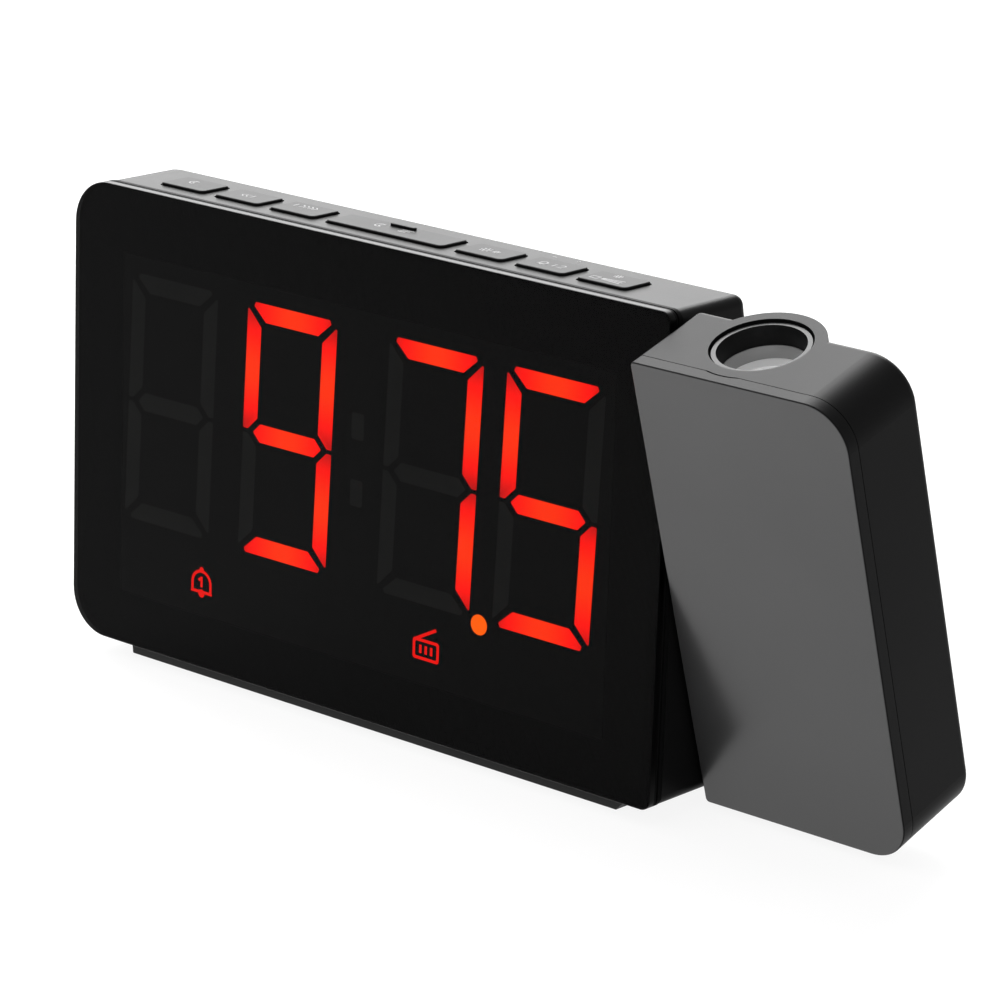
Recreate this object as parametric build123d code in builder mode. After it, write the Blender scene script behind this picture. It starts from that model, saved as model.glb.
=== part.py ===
from build123d import *
import os
from math import cos, radians, sin, tan

# Bedside projection alarm clock: a wedge-shaped clock body that stands on two rubber bars, and a
# projector arm that turns on the body's right side. X runs to the right, Y to the back and Z up.
# The origin is on the table, in the middle of the front foot's depth and below the middle of the
# front panel. Lengths are in millimetres, and depths are measured from the panel's face.

os.makedirs("parts", exist_ok=True)

# ------------------------------------------------------------------ front panel and frame
panel_width = 143.2
panel_height = 89.0
panel_left_radius = 8.5
panel_right_radius = 2.0
panel_lift = 3.2  # lower edge of the panel above the table
lens_thickness = 1.5
lens_edge_radius = 0.3
frame_thickness = 1.8
groove_inset = 0.5  # shadow groove that runs round the frame
groove_start = 0.5
groove_width = 0.4
seam = 0.15  # gap between the frame and the housing
lip_length = 2.4
lip_wall = 1.2
lip_clearance = 0.1
least_corner_radius = 0.3

# ------------------------------------------------------------------ rear housing
housing_lift = 0.1  # lower edge of the housing above the panel's lower edge
housing_drop = 0.2  # top face of the housing below the panel's upper edge
housing_wall = 2.0
top_depth = 20.75  # from the panel's face to the back edge of the top face
back_slope = 13.0  # degrees, the back wall leans out towards the bottom
back_edge_radius = 2.0

# ------------------------------------------------------------------ top keys
key_width = 11.05
key_depth = 7.5
key_gap = 2.95
snooze_width = 28.15
key_row_x = -0.28
key_row_depth = 10.9  # middle of the row behind the panel's face
key_rise = 0.5
key_corner_radius = 1.0
key_edge_radius = 0.3
key_clearance = 0.3
key_flange_margin = 0.8
key_flange_thickness = 1.0
key_flange_gap = 0.15
key_stem_radius = 1.5
key_stem_length = 2.0
key_travel = 0.5
key_end_gap = 0.15
rib_length = 6.0
rib_width = 1.0
rib_height = 0.5
rib_edge_radius = 0.2
rib_setback = 2.0  # rib behind the middle of the key row

# ------------------------------------------------------------------ key board
switch_size = 6.0
switch_height = 3.4
plunger_radius = 1.7
plunger_height = 0.8
board_thickness = 1.6
key_board_depth = 8.4
key_board_front = 6.4
key_boss_radius = 2.0
key_boss_spread = 59.4  # bosses from the middle of the key row
key_board_margin = 2.6
small_screw_radius = 0.9
small_screw_length = 6.0
small_head_radius = 1.9
small_head_height = 1.2

# ------------------------------------------------------------------ display
display_width = 119.0
display_bottom = 10.0  # above the panel's lower edge
display_top = 76.0
display_depth = 8.0
display_gap = 0.1  # air between the lens and the display
window_clearance = 0.3
digit_width = 22.2
digit_height = 48.0
digit_slant = 2.0
digit_centre_height = 48.85  # above the panel's lower edge
digit_middle_drop = 0.6
outer_digit_offset = 46.2
inner_left_offset = 16.3
inner_right_offset = 18.6
figure_shift = -0.8  # middle of the row of figures, from the middle of the panel
segment_width = 3.5
segment_gap = 0.8
segment_mitre = 1.1
segment_nose = 0.8  # bevel on the outer corners of the top and bottom bars
segment_flat = 1.2  # blunt ends of the side bars beside the middle bar
segment_bevel = 2.3
segment_corner_radius = 0.25
segment_thickness = 1.2
colon_offset = 0.3
colon_width = 3.0
colon_height = 5.0
colon_spread = 6.25
colon_corner_radius = 0.6
point_radius = 1.9
point_offset = 30.5
point_drop = 0.7  # middle of the point below the figures
icon_height = 16.4  # middle of the signs above the panel's lower edge
icon_line = 0.6
bell_offset = -38.3
bell_width = 5.3
bell_flare = 0.15
bell_dome_height = -0.3  # springing of the dome, from the sign's middle
bell_skirt = 2.3  # rim of the bell below the sign's middle
bell_rim_height = 0.6
bell_knob_radius = 0.55
bell_clapper_radius = 0.8
one_height = 2.1
one_rise = -0.05
one_width = 0.55
one_flag = 0.8
radio_offset = 18.15
radio_width = 6.3
radio_height = 4.0
radio_corner_radius = 0.6
radio_bar_height = 1.6
radio_bar_pitch = 1.3
radio_aerial_start = 0.6  # from the left end of the radio
radio_aerial_reach = 4.9
radio_aerial_rise = 2.6
chip_width = 2.0
chip_height = 0.8

# ------------------------------------------------------------------ main board
main_board_left = -58.0
main_board_right = 8.0
main_board_bottom = 16.0
main_board_top = 72.0
header_length = 2.4
header_width = 20.0
header_height = 2.5
main_chip_size = 14.0
main_chip_height = 1.6
main_chip_bevel = 0.2

# ------------------------------------------------------------------ speaker
speaker_radius = 18.0
speaker_x = 30.0
speaker_height = 40.0  # up the back wall
speaker_rim = 1.2
basket_depth = 6.5
basket_neck_radius = 11.0
basket_wall = 1.0
cone_wall = 0.6
magnet_radius = 10.0
magnet_depth = 5.0
magnet_bevel = 0.5
slot_width = 1.7
slot_pitch = 3.5
slot_count = 9
grille_radius = 16.0

# ------------------------------------------------------------------ sockets
socket_height = 22.0  # up the back wall
dc_x = -8.0
dc_body_width = 9.4
dc_body_height = 9.4
dc_bore_radius = 2.85
dc_pin_radius = 1.0
dc_depth = 9.0
usb_x = -27.0
usb_body_width = 13.3
usb_body_height = 5.9
usb_shell = 0.4
usb_tongue_width = 11.1
usb_tongue_thickness = 1.84
usb_corner_radius = 0.5
socket_reach = 12.0
socket_margin = 0.4
socket_board_margin = 3.0
aerial_x = 54.0
aerial_height = 22.0
aerial_radius = 2.2
aerial_wire_radius = 0.7
aerial_flange_radius = 3.2
aerial_flange_thickness = 0.8
aerial_edge_radius = 0.3

# ------------------------------------------------------------------ housing screws
screw_spread = 66.0
screw_low = 14.0
screw_high = 80.0
screw_recess = 5.0
screw_head_radius = 2.7
screw_head_height = 1.8
screw_radius = 1.4
screw_length = 10.0
screw_clearance = 0.05
through_clearance = 0.2
recess_radius = 3.0
post_radius = 4.2
post_floor = 2.0
pillar_radius = 3.0
drive_width = 0.8  # cross recess in the screw heads
drive_length = 2.6
drive_depth = 0.9

# ------------------------------------------------------------------ feet
foot_left = -59.0
foot_right = 64.6
foot_left_taper = 0.4
foot_right_taper = 3.3
foot_edge_radius = 0.4
front_foot_start = 3.6
foot_depth = 6.0
rear_foot_margin = 1.6

# ------------------------------------------------------------------ backup cell
cell_radius = 10.0
cell_thickness = 3.2
cell_edge_radius = 0.3
cell_x = -35.0
cell_depth = 21.0
cover_radius = 10.8
cover_clearance = 0.3
cover_thickness = 2.0
lug_reach = 1.2
lug_thickness = 1.2
lug_angle = 30.0
lug_gap = 0.3
lug_notch_angle = 36.0
lug_unlock_angle = 55.0
cover_boss_radius = 4.0
coin_slot_length = 12.0
coin_slot_width = 2.0
coin_slot_depth = 1.0
cup_wall = 1.2
cell_side_clearance = 0.4
contact_thickness = 0.3
contact_width = 4.0
contact_gap = 0.1

# ------------------------------------------------------------------ projector arm
arm_width = 43.8
arm_length = 88.5
arm_thickness = 19.6
arm_gap = 1.0  # between the housing's right side and the arm
arm_tilt = 17.6  # degrees, the arm's top leans to the front
arm_left_radius = 0.8
arm_right_radius = 8.0
arm_edge_radius = 1.5
arm_wall = 1.8
cover_depth = 2.6
cover_seam = 0.15
cover_edge_radius = 0.3
cover_lip_length = 1.5
cover_lip_wall = 1.2

# ------------------------------------------------------------------ pivot
pivot_drop = 41.35  # below the arm's top
pivot_depth = 13.95  # behind the arm's front, and behind the panel's face when the arm is upright
pivot_radius = 3.5
pivot_bore = 2.2
pivot_clearance = 0.06
bush_wall = 1.6
bush_length = 5.0
bush_flange_radius = 8.0
bush_flange_thickness = 0.4
washer_radius = 7.4
washer_gap = 0.05
retainer_radius = 6.2
retainer_thickness = 0.8
retainer_groove = 0.6
spring_washer_radius = 6.4
spring_washer_thickness = 0.4
shaft_end = 1.2
pivot_plate_height = 13.0
pivot_plate_thickness = 2.4
pivot_plate_front = 5.0  # front edge of the plate behind the arm's front

# ------------------------------------------------------------------ projector optics
barrel_across = 17.4
barrel_depth = 13.45  # behind the arm's front
bore_radius = 8.9
bore_mouth_depth = 4.0
bulge_radius = 11.1
bulge_length = 50.0
bulge_tail = 12.0
sleeve_length = 54.0
barrel_recess = 0.5
barrel_length = 27.5
barrel_radius = 8.5
barrel_inner_radius = 7.7
barrel_clearance = 0.08
cell_fit = 0.08
retainer_depth = 4.3
retainer_length = 2.2
retainer_mouth = 7.4
retainer_throat = 7.05
front_lens_radius = 7.2
front_lens_thickness = 4.0
front_lens_curve = 18.0
lens_cell_length = 17.5
lens_cell_wall = 1.0
lens_cell_clearance = 0.05
rear_lens_thickness = 3.0
rear_lens_curve = 22.0
focus_travel = 1.2
optics_radius = 8.0
slide_thickness = 1.6
slide_frame_thickness = 2.4
slide_width = 9.0
slide_height = 7.0
slide_gap = 2.6  # between the slide frame and the condenser lens
condenser_thickness = 4.5
condenser_gap = 0.3  # between the condenser lens and the lamp
condenser_curve = 12.0
led_radius = 2.5
led_height = 4.2
led_dome_radius = 2.0
projector_board_margin = 1.0

# ------------------------------------------------------------------ arm screws
arm_screw_inset = 6.4
arm_screw_low = 9.0  # from the arm's ends
arm_screw_recess = 3.0
arm_screw_radius = 1.2
arm_screw_length = 9.0
arm_head_radius = 2.3
arm_head_height = 1.5
arm_recess_radius = 2.6
arm_post_radius = 3.4
arm_post_floor = 1.6
arm_pillar_radius = 2.4

# ------------------------------------------------------------------ places that follow from the sizes
panel_bottom = panel_lift
panel_top = panel_lift + panel_height
frame_back = lens_thickness + frame_thickness
housing_front = frame_back + seam
housing_bottom = panel_bottom + housing_lift
housing_top = panel_top - housing_drop
side_x = panel_width / 2
panel_face_y = -(front_foot_start + foot_depth / 2)
key_row_y = panel_face_y + key_row_depth
cell_y = panel_face_y + cell_depth
slope = radians(back_slope)
deepest = top_depth + (housing_top - housing_bottom) * tan(slope)


def back_at(height, inset=0.0):
    """Depth of the sloping back wall, or of a face that lies inside it by inset."""
    return top_depth + (housing_top - height) * tan(slope) - inset / cos(slope)


def facing_front(depth):
    """Plane parallel to the front panel; extrude by a minus amount to go to the back."""
    return Plane.XZ.offset(-(panel_face_y + depth))


def on_back(inset=0.0):
    """Plane on the sloping back wall: X to the left of the clock, Y up the wall from its lower
    edge, Z outwards."""
    wall = Plane(
        origin=(0, panel_face_y + back_at(housing_bottom), housing_bottom),
        x_dir=(-1, 0, 0),
        z_dir=(0, cos(slope), sin(slope)),
    )
    return wall.offset(-inset)


def panel_outline(inset, bottom, top):
    """Upright outline with large corners on the left and small ones on the right."""
    with BuildSketch(Plane.XY, mode=Mode.PRIVATE) as outline:
        with Locations((0, (bottom + top) / 2)):
            Rectangle(panel_width - 2 * inset, top - bottom - 2 * inset)
        left_corners = outline.vertices().group_by(Axis.X)[0]
        fillet(left_corners, max(panel_left_radius - inset, least_corner_radius))
        right_corners = outline.vertices().group_by(Axis.X)[-1]
        fillet(right_corners, max(panel_right_radius - inset, least_corner_radius))
    return outline.sketch


def wedge(inset):
    """Form of the rear housing, or of its cavity when it is drawn in by the wall."""
    with BuildPart(mode=Mode.PRIVATE) as form:
        with BuildSketch(facing_front(housing_front)):
            add(panel_outline(inset, housing_bottom, housing_top))
        extrude(amount=-deepest)
        low = housing_bottom + inset
        high = housing_top - inset
        with BuildSketch(Plane.YZ):
            with Locations((panel_face_y, 0)):
                Polygon(
                    (housing_front, low),
                    (back_at(low, inset), low),
                    (back_at(high, inset), high),
                    (housing_front, high),
                    align=None,
                )
        extrude(amount=panel_width, both=True, mode=Mode.INTERSECT)
        if inset < back_edge_radius:
            back = form.faces().filter_by(lambda face: face.normal_at().Y > 0.9)
            fillet(back.edges(), back_edge_radius - inset)
    return form.part


# ================================================================== front panel and frame
with BuildPart() as front_lens:
    with BuildSketch(facing_front(0)):
        add(panel_outline(0, panel_bottom, panel_top))
    extrude(amount=-lens_thickness)
    fillet(front_lens.faces().sort_by(Axis.Y)[0].edges(), lens_edge_radius)
front_lens.part.label = "front_lens"
export_step(front_lens.part, "parts/front_lens.step")

display_low = panel_bottom + display_bottom
display_high = panel_bottom + display_top
display_face = lens_thickness + display_gap
display_back = display_face + display_depth
screw_places = [(x, z) for x in (-screw_spread, screw_spread) for z in (screw_low, screw_high)]


def screw_seat(height):
    """Depth of the face that a housing screw's head rests on."""
    return back_at(height) - screw_recess


with BuildPart() as front_frame:
    with BuildSketch(facing_front(lens_thickness)):
        add(panel_outline(0, panel_bottom, panel_top))
    extrude(amount=-frame_thickness)
    with BuildSketch(facing_front(lens_thickness + groove_start)):
        add(panel_outline(0, panel_bottom, panel_top))
        add(panel_outline(groove_inset, panel_bottom, panel_top), mode=Mode.SUBTRACT)
    extrude(amount=-groove_width, mode=Mode.SUBTRACT)
    with BuildSketch(facing_front(frame_back)):
        add(panel_outline(housing_wall + lip_clearance, housing_bottom, housing_top))
        inner_lip = housing_wall + lip_clearance + lip_wall
        add(panel_outline(inner_lip, housing_bottom, housing_top), mode=Mode.SUBTRACT)
    extrude(amount=-lip_length)
    for place in screw_places:
        pillar_length = screw_seat(place[1]) - post_floor - seam - frame_back
        with BuildSketch(facing_front(frame_back)):
            with Locations(place):
                Circle(pillar_radius)
        extrude(amount=-pillar_length)
        with BuildSketch(facing_front(frame_back + pillar_length)):
            with Locations(place):
                Circle(screw_radius + screw_clearance)
        extrude(amount=screw_length - post_floor + seam, mode=Mode.SUBTRACT)
    with BuildSketch(facing_front(lens_thickness)):
        with Locations((0, (display_low + display_high) / 2)):
            Rectangle(
                display_width + 2 * window_clearance,
                display_high - display_low + 2 * window_clearance,
            )
    extrude(amount=-frame_thickness, mode=Mode.SUBTRACT)
front_frame.part.label = "front_frame"
export_step(front_frame.part, "parts/front_frame.step")

# ================================================================== places of the top keys
first_key = snooze_width / 2 + key_gap + key_width / 2
key_pitch = key_width + key_gap
key_names = {
    "sleep_key": -first_key - 2 * key_pitch,
    "tune_down_key": -first_key - key_pitch,
    "tune_up_key": -first_key,
    "snooze_key": 0.0,
    "dimmer_key": first_key,
    "alarm_key": first_key + key_pitch,
    "projector_key": first_key + 2 * key_pitch,
}
key_ceiling = housing_top - housing_wall
key_flange_top = key_ceiling - key_flange_gap
key_flange_bottom = key_flange_top - key_flange_thickness
key_stem_bottom = key_flange_bottom - key_stem_length
plunger_top = key_stem_bottom - key_travel - key_end_gap
key_board_top = plunger_top - plunger_height - switch_height
key_board_bottom = key_board_top - board_thickness
key_boss_places = [(key_row_x + side * key_boss_spread, key_row_y) for side in (-1, 1)]


def key_length(name):
    """Length of a key along the row."""
    return snooze_width if name == "snooze_key" else key_width


# ================================================================== places of the pivot
pivot_y = panel_face_y + pivot_depth
pivot_z = panel_top - pivot_drop
bush_radius = pivot_radius + bush_wall


def beside(offset):
    """Plane square to the pivot axis, centred on it, at a distance right of the clock's middle."""
    return Plane(origin=(offset, pivot_y, pivot_z), x_dir=(0, 1, 0), z_dir=(1, 0, 0))


# ================================================================== places of the backup cell
cover_top = housing_bottom + cover_thickness
lug_bottom = housing_bottom + housing_wall + lug_gap
lug_top = lug_bottom + lug_thickness
lug_radius = cover_radius + lug_reach
cell_bottom = lug_top + lug_gap
cell_top = cell_bottom + cell_thickness
cup_roof = cell_top + contact_gap + contact_thickness
cup_radius = lug_radius + cover_clearance + cup_wall


def lug_ring(angle, turn, radius):
    """Two opposite sectors of a disc, as the bayonet's lugs and their notches."""
    with BuildSketch(Plane.XY, mode=Mode.PRIVATE) as sectors:
        with PolarLocations(0, 2, start_angle=turn - angle / 2):
            with BuildLine():
                Line((0, 0), (radius, 0))
                CenterArc((0, 0), radius, 0, angle)
                Line((radius * cos(radians(angle)), radius * sin(radians(angle))), (0, 0))
            make_face()
    return sectors.sketch


# ================================================================== rear housing
housing_form = wedge(0)
housing_cavity = wedge(housing_wall)

with BuildPart() as rear_housing:
    add(housing_form)
    add(housing_cavity, mode=Mode.SUBTRACT)

    # Openings for the keys and bosses that carry the key board
    for name, along in key_names.items():
        with BuildSketch(Plane.XY.offset(housing_top)):
            with Locations((key_row_x + along, key_row_y)):
                RectangleRounded(
                    key_length(name) + 2 * key_clearance,
                    key_depth + 2 * key_clearance,
                    key_corner_radius + key_clearance,
                )
        extrude(amount=-housing_wall, mode=Mode.SUBTRACT)
    with BuildSketch(Plane.XY.offset(key_board_top)):
        with Locations(*key_boss_places):
            Circle(key_boss_radius)
    extrude(amount=key_ceiling - key_board_top)
    with BuildSketch(Plane.XY.offset(key_board_top)):
        with Locations(*key_boss_places):
            Circle(small_screw_radius + screw_clearance)
    extrude(amount=small_screw_length - board_thickness, mode=Mode.SUBTRACT)

    # Posts for the housing screws, with deep recesses that open in the back wall
    for place in screw_places:
        seat = screw_seat(place[1])
        with BuildSketch(facing_front(seat - post_floor)):
            with Locations(place):
                Circle(post_radius)
        extrude(amount=-(screw_recess + post_floor))
        with BuildSketch(facing_front(seat)):
            with Locations(place):
                Circle(recess_radius)
        extrude(amount=-2 * screw_recess, mode=Mode.SUBTRACT)
        with BuildSketch(facing_front(seat - post_floor)):
            with Locations(place):
                Circle(screw_radius + through_clearance)
        extrude(amount=-post_floor, mode=Mode.SUBTRACT)
    add(housing_form, mode=Mode.INTERSECT)

    # Hole and inner boss for the pivot bush
    with BuildSketch(beside(side_x - bush_length)):
        Circle(bush_radius + bush_wall)
    extrude(amount=bush_length - housing_wall / 2)
    with BuildSketch(beside(side_x - bush_length)):
        Circle(bush_radius + pivot_clearance)
    extrude(amount=bush_length, mode=Mode.SUBTRACT)

    # Speaker grille, a round field of slots
    with BuildSketch(on_back()):
        for row in range(slot_count):
            rise = (row - (slot_count - 1) / 2) * slot_pitch
            half_chord = (grille_radius**2 - rise**2) ** 0.5
            with Locations((-speaker_x, speaker_height + rise)):
                SlotOverall(2 * half_chord, slot_width)
    extrude(amount=-housing_wall, mode=Mode.SUBTRACT)

    # Openings for the sockets and the aerial bush
    with BuildSketch(on_back()):
        with Locations((-dc_x, socket_height)):
            Circle(dc_bore_radius + 2 * socket_margin)
        with Locations((-usb_x, socket_height)):
            RectangleRounded(
                usb_body_width + 2 * socket_margin,
                usb_body_height + 2 * socket_margin,
                usb_corner_radius,
            )
        with Locations((-aerial_x, aerial_height)):
            Circle(aerial_radius + screw_clearance)
    extrude(amount=-housing_wall, mode=Mode.SUBTRACT)

    # Cup for the backup cell, with a bayonet mouth in the bottom wall
    cell_floor = housing_bottom + housing_wall
    with BuildSketch(Plane.XY.offset(cell_floor)):
        with Locations((cell_x, cell_y)):
            Circle(cup_radius)
    extrude(amount=cup_roof + cup_wall - cell_floor)
    with BuildSketch(Plane.XY.offset(housing_bottom)):
        with Locations((cell_x, cell_y)):
            Circle(cover_radius + cover_clearance)
            add(lug_ring(lug_notch_angle, lug_unlock_angle, lug_radius + cover_clearance))
    extrude(amount=housing_wall, mode=Mode.SUBTRACT)
    with BuildSketch(Plane.XY.offset(cell_floor)):
        with Locations((cell_x, cell_y)):
            Circle(lug_radius + cover_clearance)
    extrude(amount=cell_bottom - cell_floor, mode=Mode.SUBTRACT)
    with BuildSketch(Plane.XY.offset(cell_bottom)):
        with Locations((cell_x, cell_y)):
            Circle(cell_radius + cell_side_clearance)
    extrude(amount=cup_roof - cell_bottom, mode=Mode.SUBTRACT)
rear_housing.part.label = "rear_housing"
export_step(rear_housing.part, "parts/rear_housing.step")

# ================================================================== feet
foot_height = housing_bottom
rear_foot_start = back_at(housing_bottom) - rear_foot_margin - foot_depth

foot_starts = {"front_foot": front_foot_start, "rear_foot": rear_foot_start}

for name, start in foot_starts.items():
    with BuildPart() as foot:
        with BuildSketch(facing_front(start)):
            Polygon(
                (foot_left, foot_height),
                (foot_left + foot_left_taper, 0),
                (foot_right - foot_right_taper, 0),
                (foot_right, foot_height),
                align=None,
            )
        extrude(amount=-foot_depth)
        fillet(foot.edges().filter_by(Axis.X).group_by(Axis.Z)[0], foot_edge_radius)
    foot.part.label = name
    export_step(foot.part, f"parts/{name}.step")

# ================================================================== housing screws
with BuildPart() as housing_screws:
    for place in screw_places:
        seat = screw_seat(place[1])
        with BuildSketch(facing_front(seat)):
            with Locations(place):
                Circle(screw_radius)
        extrude(amount=screw_length)
        with BuildSketch(facing_front(seat)):
            with Locations(place):
                Circle(screw_head_radius)
        extrude(amount=-screw_head_height)
        with BuildSketch(facing_front(seat + screw_head_height)):
            with Locations(place):
                Rectangle(drive_length, drive_width)
                Rectangle(drive_width, drive_length)
        extrude(amount=drive_depth, mode=Mode.SUBTRACT)
housing_screws.part.label = "housing_screws"
export_step(housing_screws.part, "parts/housing_screws.step")

# ================================================================== top keys
for name, along in key_names.items():
    with BuildPart() as key:
        with BuildSketch(Plane.XY.offset(key_flange_top)):
            with Locations((key_row_x + along, key_row_y)):
                RectangleRounded(key_length(name), key_depth, key_corner_radius)
        extrude(amount=housing_top + key_rise - key_flange_top)
        fillet(key.faces().sort_by(Axis.Z)[-1].edges(), key_edge_radius)
        with BuildSketch(Plane.XY.offset(key_flange_bottom)):
            with Locations((key_row_x + along, key_row_y)):
                Rectangle(
                    key_length(name) + 2 * key_flange_margin, key_depth + 2 * key_flange_margin
                )
        extrude(amount=key_flange_thickness)
        with BuildSketch(Plane.XY.offset(key_stem_bottom)):
            with Locations((key_row_x + along, key_row_y)):
                Circle(key_stem_radius)
        extrude(amount=key_stem_length)
        if name == "snooze_key":
            with BuildSketch(Plane.XY.offset(housing_top)):
                with Locations((key_row_x + along, key_row_y + rib_setback)):
                    SlotOverall(rib_length, rib_width)
            extrude(amount=key_rise + rib_height)
            fillet(key.faces().sort_by(Axis.Z)[-1].edges(), rib_edge_radius)
    key.part.label = name
    export_step(key.part, f"parts/{name}.step")

# ================================================================== key board and switches
key_board_left = key_boss_places[0][0] - key_board_margin
key_board_right = key_boss_places[1][0] + key_board_margin

with BuildPart() as key_board:
    with BuildSketch(Plane.XY.offset(key_board_bottom)):
        with Locations((key_board_left, panel_face_y + key_board_front)):
            Rectangle(
                key_board_right - key_board_left,
                key_board_depth,
                align=(Align.MIN, Align.MIN),
            )
        with Locations(*key_boss_places):
            Circle(small_screw_radius + through_clearance, mode=Mode.SUBTRACT)
    extrude(amount=board_thickness)
key_board.part.label = "key_board"
export_step(key_board.part, "parts/key_board.step")

with BuildPart() as key_switches:
    switch_places = [(key_row_x + along, key_row_y) for along in key_names.values()]
    with BuildSketch(Plane.XY.offset(key_board_top)):
        with Locations(*switch_places):
            Rectangle(switch_size, switch_size)
    extrude(amount=switch_height)
    with BuildSketch(Plane.XY.offset(key_board_top + switch_height)):
        with Locations(*switch_places):
            Circle(plunger_radius)
    extrude(amount=plunger_height)
key_switches.part.label = "key_switches"
export_step(key_switches.part, "parts/key_switches.step")

with BuildPart() as key_board_screws:
    with BuildSketch(Plane.XY.offset(key_board_bottom)):
        with Locations(*key_boss_places):
            Circle(small_screw_radius)
    extrude(amount=small_screw_length)
    with BuildSketch(Plane.XY.offset(key_board_bottom)):
        with Locations(*key_boss_places):
            Circle(small_head_radius)
    extrude(amount=-small_head_height)
key_board_screws.part.label = "key_board_screws"
export_step(key_board_screws.part, "parts/key_board_screws.step")

# ================================================================== figures of the display
digit_level = panel_bottom + digit_centre_height
digit_offsets = [
    figure_shift - outer_digit_offset,
    figure_shift - inner_left_offset,
    figure_shift + inner_right_offset,
    figure_shift + outer_digit_offset,
]
# Bars that are lit in each figure, from the left: blank, nine, seven and five
bar_names = ["top", "upper_left", "upper_right", "middle", "lower_left", "lower_right", "bottom"]
lit_bars = [
    [],
    ["top", "upper_left", "upper_right", "middle", "lower_right", "bottom"],
    ["top", "upper_right", "lower_right"],
    ["top", "upper_left", "middle", "lower_right", "bottom"],
]


def bar_corners(name):
    """Corners of one bar about the figure's centre, upright and before the slant."""
    half_width = digit_width / 2
    half_height = digit_height / 2
    level = -digit_middle_drop
    half_bar = segment_width / 2
    half_gap = segment_gap / 2
    inner = half_width - segment_width
    if name == "middle":
        tip = half_width - half_bar - segment_gap
        shoulder = inner - segment_gap
        return [
            (-tip, level),
            (-shoulder, level + half_bar),
            (shoulder, level + half_bar),
            (tip, level),
            (shoulder, level - half_bar),
            (-shoulder, level - half_bar),
        ]
    up = 1 if name in ("top", "upper_left", "upper_right") else -1
    if name in ("top", "bottom"):
        outer = half_width - segment_mitre
        return [
            (-outer + segment_nose, up * half_height),
            (outer - segment_nose, up * half_height),
            (outer - segment_nose / 2, up * (half_height - segment_nose)),
            (inner - segment_mitre, up * (half_height - segment_width)),
            (-inner + segment_mitre, up * (half_height - segment_width)),
            (-outer + segment_nose / 2, up * (half_height - segment_nose)),
        ]
    side = 1 if name.endswith("right") else -1
    return [
        (side * half_width, level + up * half_gap),
        (side * half_width, up * (half_height - segment_mitre)),
        (side * inner, up * (half_height - segment_mitre - segment_width)),
        (side * inner, level + up * (half_gap + segment_bevel)),
        (side * (half_width - segment_flat), level + up * half_gap),
    ]


def figure_bars(lit):
    """All the bars of the display that are lit, or all that aren't."""
    lean = tan(radians(digit_slant))
    with BuildSketch(Plane.XY, mode=Mode.PRIVATE) as bars:
        for offset, lit_names in zip(digit_offsets, lit_bars):
            for name in bar_names:
                if (name in lit_names) == lit:
                    corners = [
                        (offset + x + y * lean, digit_level + y) for x, y in bar_corners(name)
                    ]
                    Polygon(*corners, align=None)
        fillet(bars.vertices(), segment_corner_radius)
    return bars.sketch


def colon_dots():
    """Two upright dots between the inner figures."""
    with BuildSketch(Plane.XY, mode=Mode.PRIVATE) as dots:
        for side in (-1, 1):
            with Locations((colon_offset, digit_level - digit_middle_drop + side * colon_spread)):
                RectangleRounded(colon_width, colon_height, colon_corner_radius)
    return dots.sketch


def decimal_point():
    """Round dot low between the last two figures."""
    with BuildSketch(Plane.XY, mode=Mode.PRIVATE) as dot:
        with Locations((point_offset, digit_level - digit_height / 2 - point_drop)):
            Circle(point_radius)
    return dot.sketch


def bell_sign():
    """Line drawing of a bell with a plain 1 in it."""
    half = bell_width / 2
    rim = -bell_skirt
    brim = rim + bell_rim_height
    one_top = one_rise + one_height / 2
    with BuildSketch(Plane.XY, mode=Mode.PRIVATE) as sign:
        with BuildLine():
            Polyline(
                (-half, bell_dome_height),
                (-half, brim),
                (-half - bell_flare, rim),
                (half + bell_flare, rim),
                (half, brim),
                (half, bell_dome_height),
            )
            CenterArc((0, bell_dome_height), half, 0, 180)
        make_face()
        offset(amount=-icon_line, mode=Mode.SUBTRACT)
        with Locations((0, bell_dome_height + half)):
            Circle(bell_knob_radius)
        with Locations((0, rim)):
            Circle(bell_clapper_radius)
        with Locations((0, one_rise)):
            Rectangle(one_width, one_height)
        with BuildLine():
            Line((0, one_top - one_width / 2), (-one_flag, one_top - one_flag))
        trace(line_width=one_width)
    return sign.sketch


def radio_sign():
    """Line drawing of a small radio with an aerial and three bars."""
    with BuildSketch(Plane.XY, mode=Mode.PRIVATE) as sign:
        RectangleRounded(radio_width, radio_height, radio_corner_radius)
        RectangleRounded(
            radio_width - 2 * icon_line,
            radio_height - 2 * icon_line,
            radio_corner_radius / 2,
            mode=Mode.SUBTRACT,
        )
        with GridLocations(radio_bar_pitch, 0, 3, 1):
            Rectangle(icon_line, radio_bar_height)
        foot_x = radio_aerial_start - radio_width / 2
        foot_y = (radio_height - icon_line) / 2
        with BuildLine():
            Line(
                (foot_x, foot_y), (foot_x + radio_aerial_reach, foot_y + radio_aerial_rise)
            )
        trace(line_width=icon_line)
    return sign.sketch


bell_place = (bell_offset, panel_bottom + icon_height)
radio_place = (radio_offset, panel_bottom + icon_height)

with BuildPart() as display_body:
    with BuildSketch(facing_front(display_face)):
        with Locations((0, (display_low + display_high) / 2)):
            Rectangle(display_width, display_high - display_low)
        add(figure_bars(True), mode=Mode.SUBTRACT)
        add(figure_bars(False), mode=Mode.SUBTRACT)
        add(colon_dots(), mode=Mode.SUBTRACT)
        add(decimal_point(), mode=Mode.SUBTRACT)
    extrude(amount=-display_depth)
    with BuildSketch(facing_front(display_face)):
        with Locations(bell_place):
            add(bell_sign())
        with Locations(radio_place):
            add(radio_sign())
    extrude(amount=-segment_thickness, mode=Mode.SUBTRACT)
display_body.part.label = "display_body"
export_step(display_body.part, "parts/display_body.step")

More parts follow.
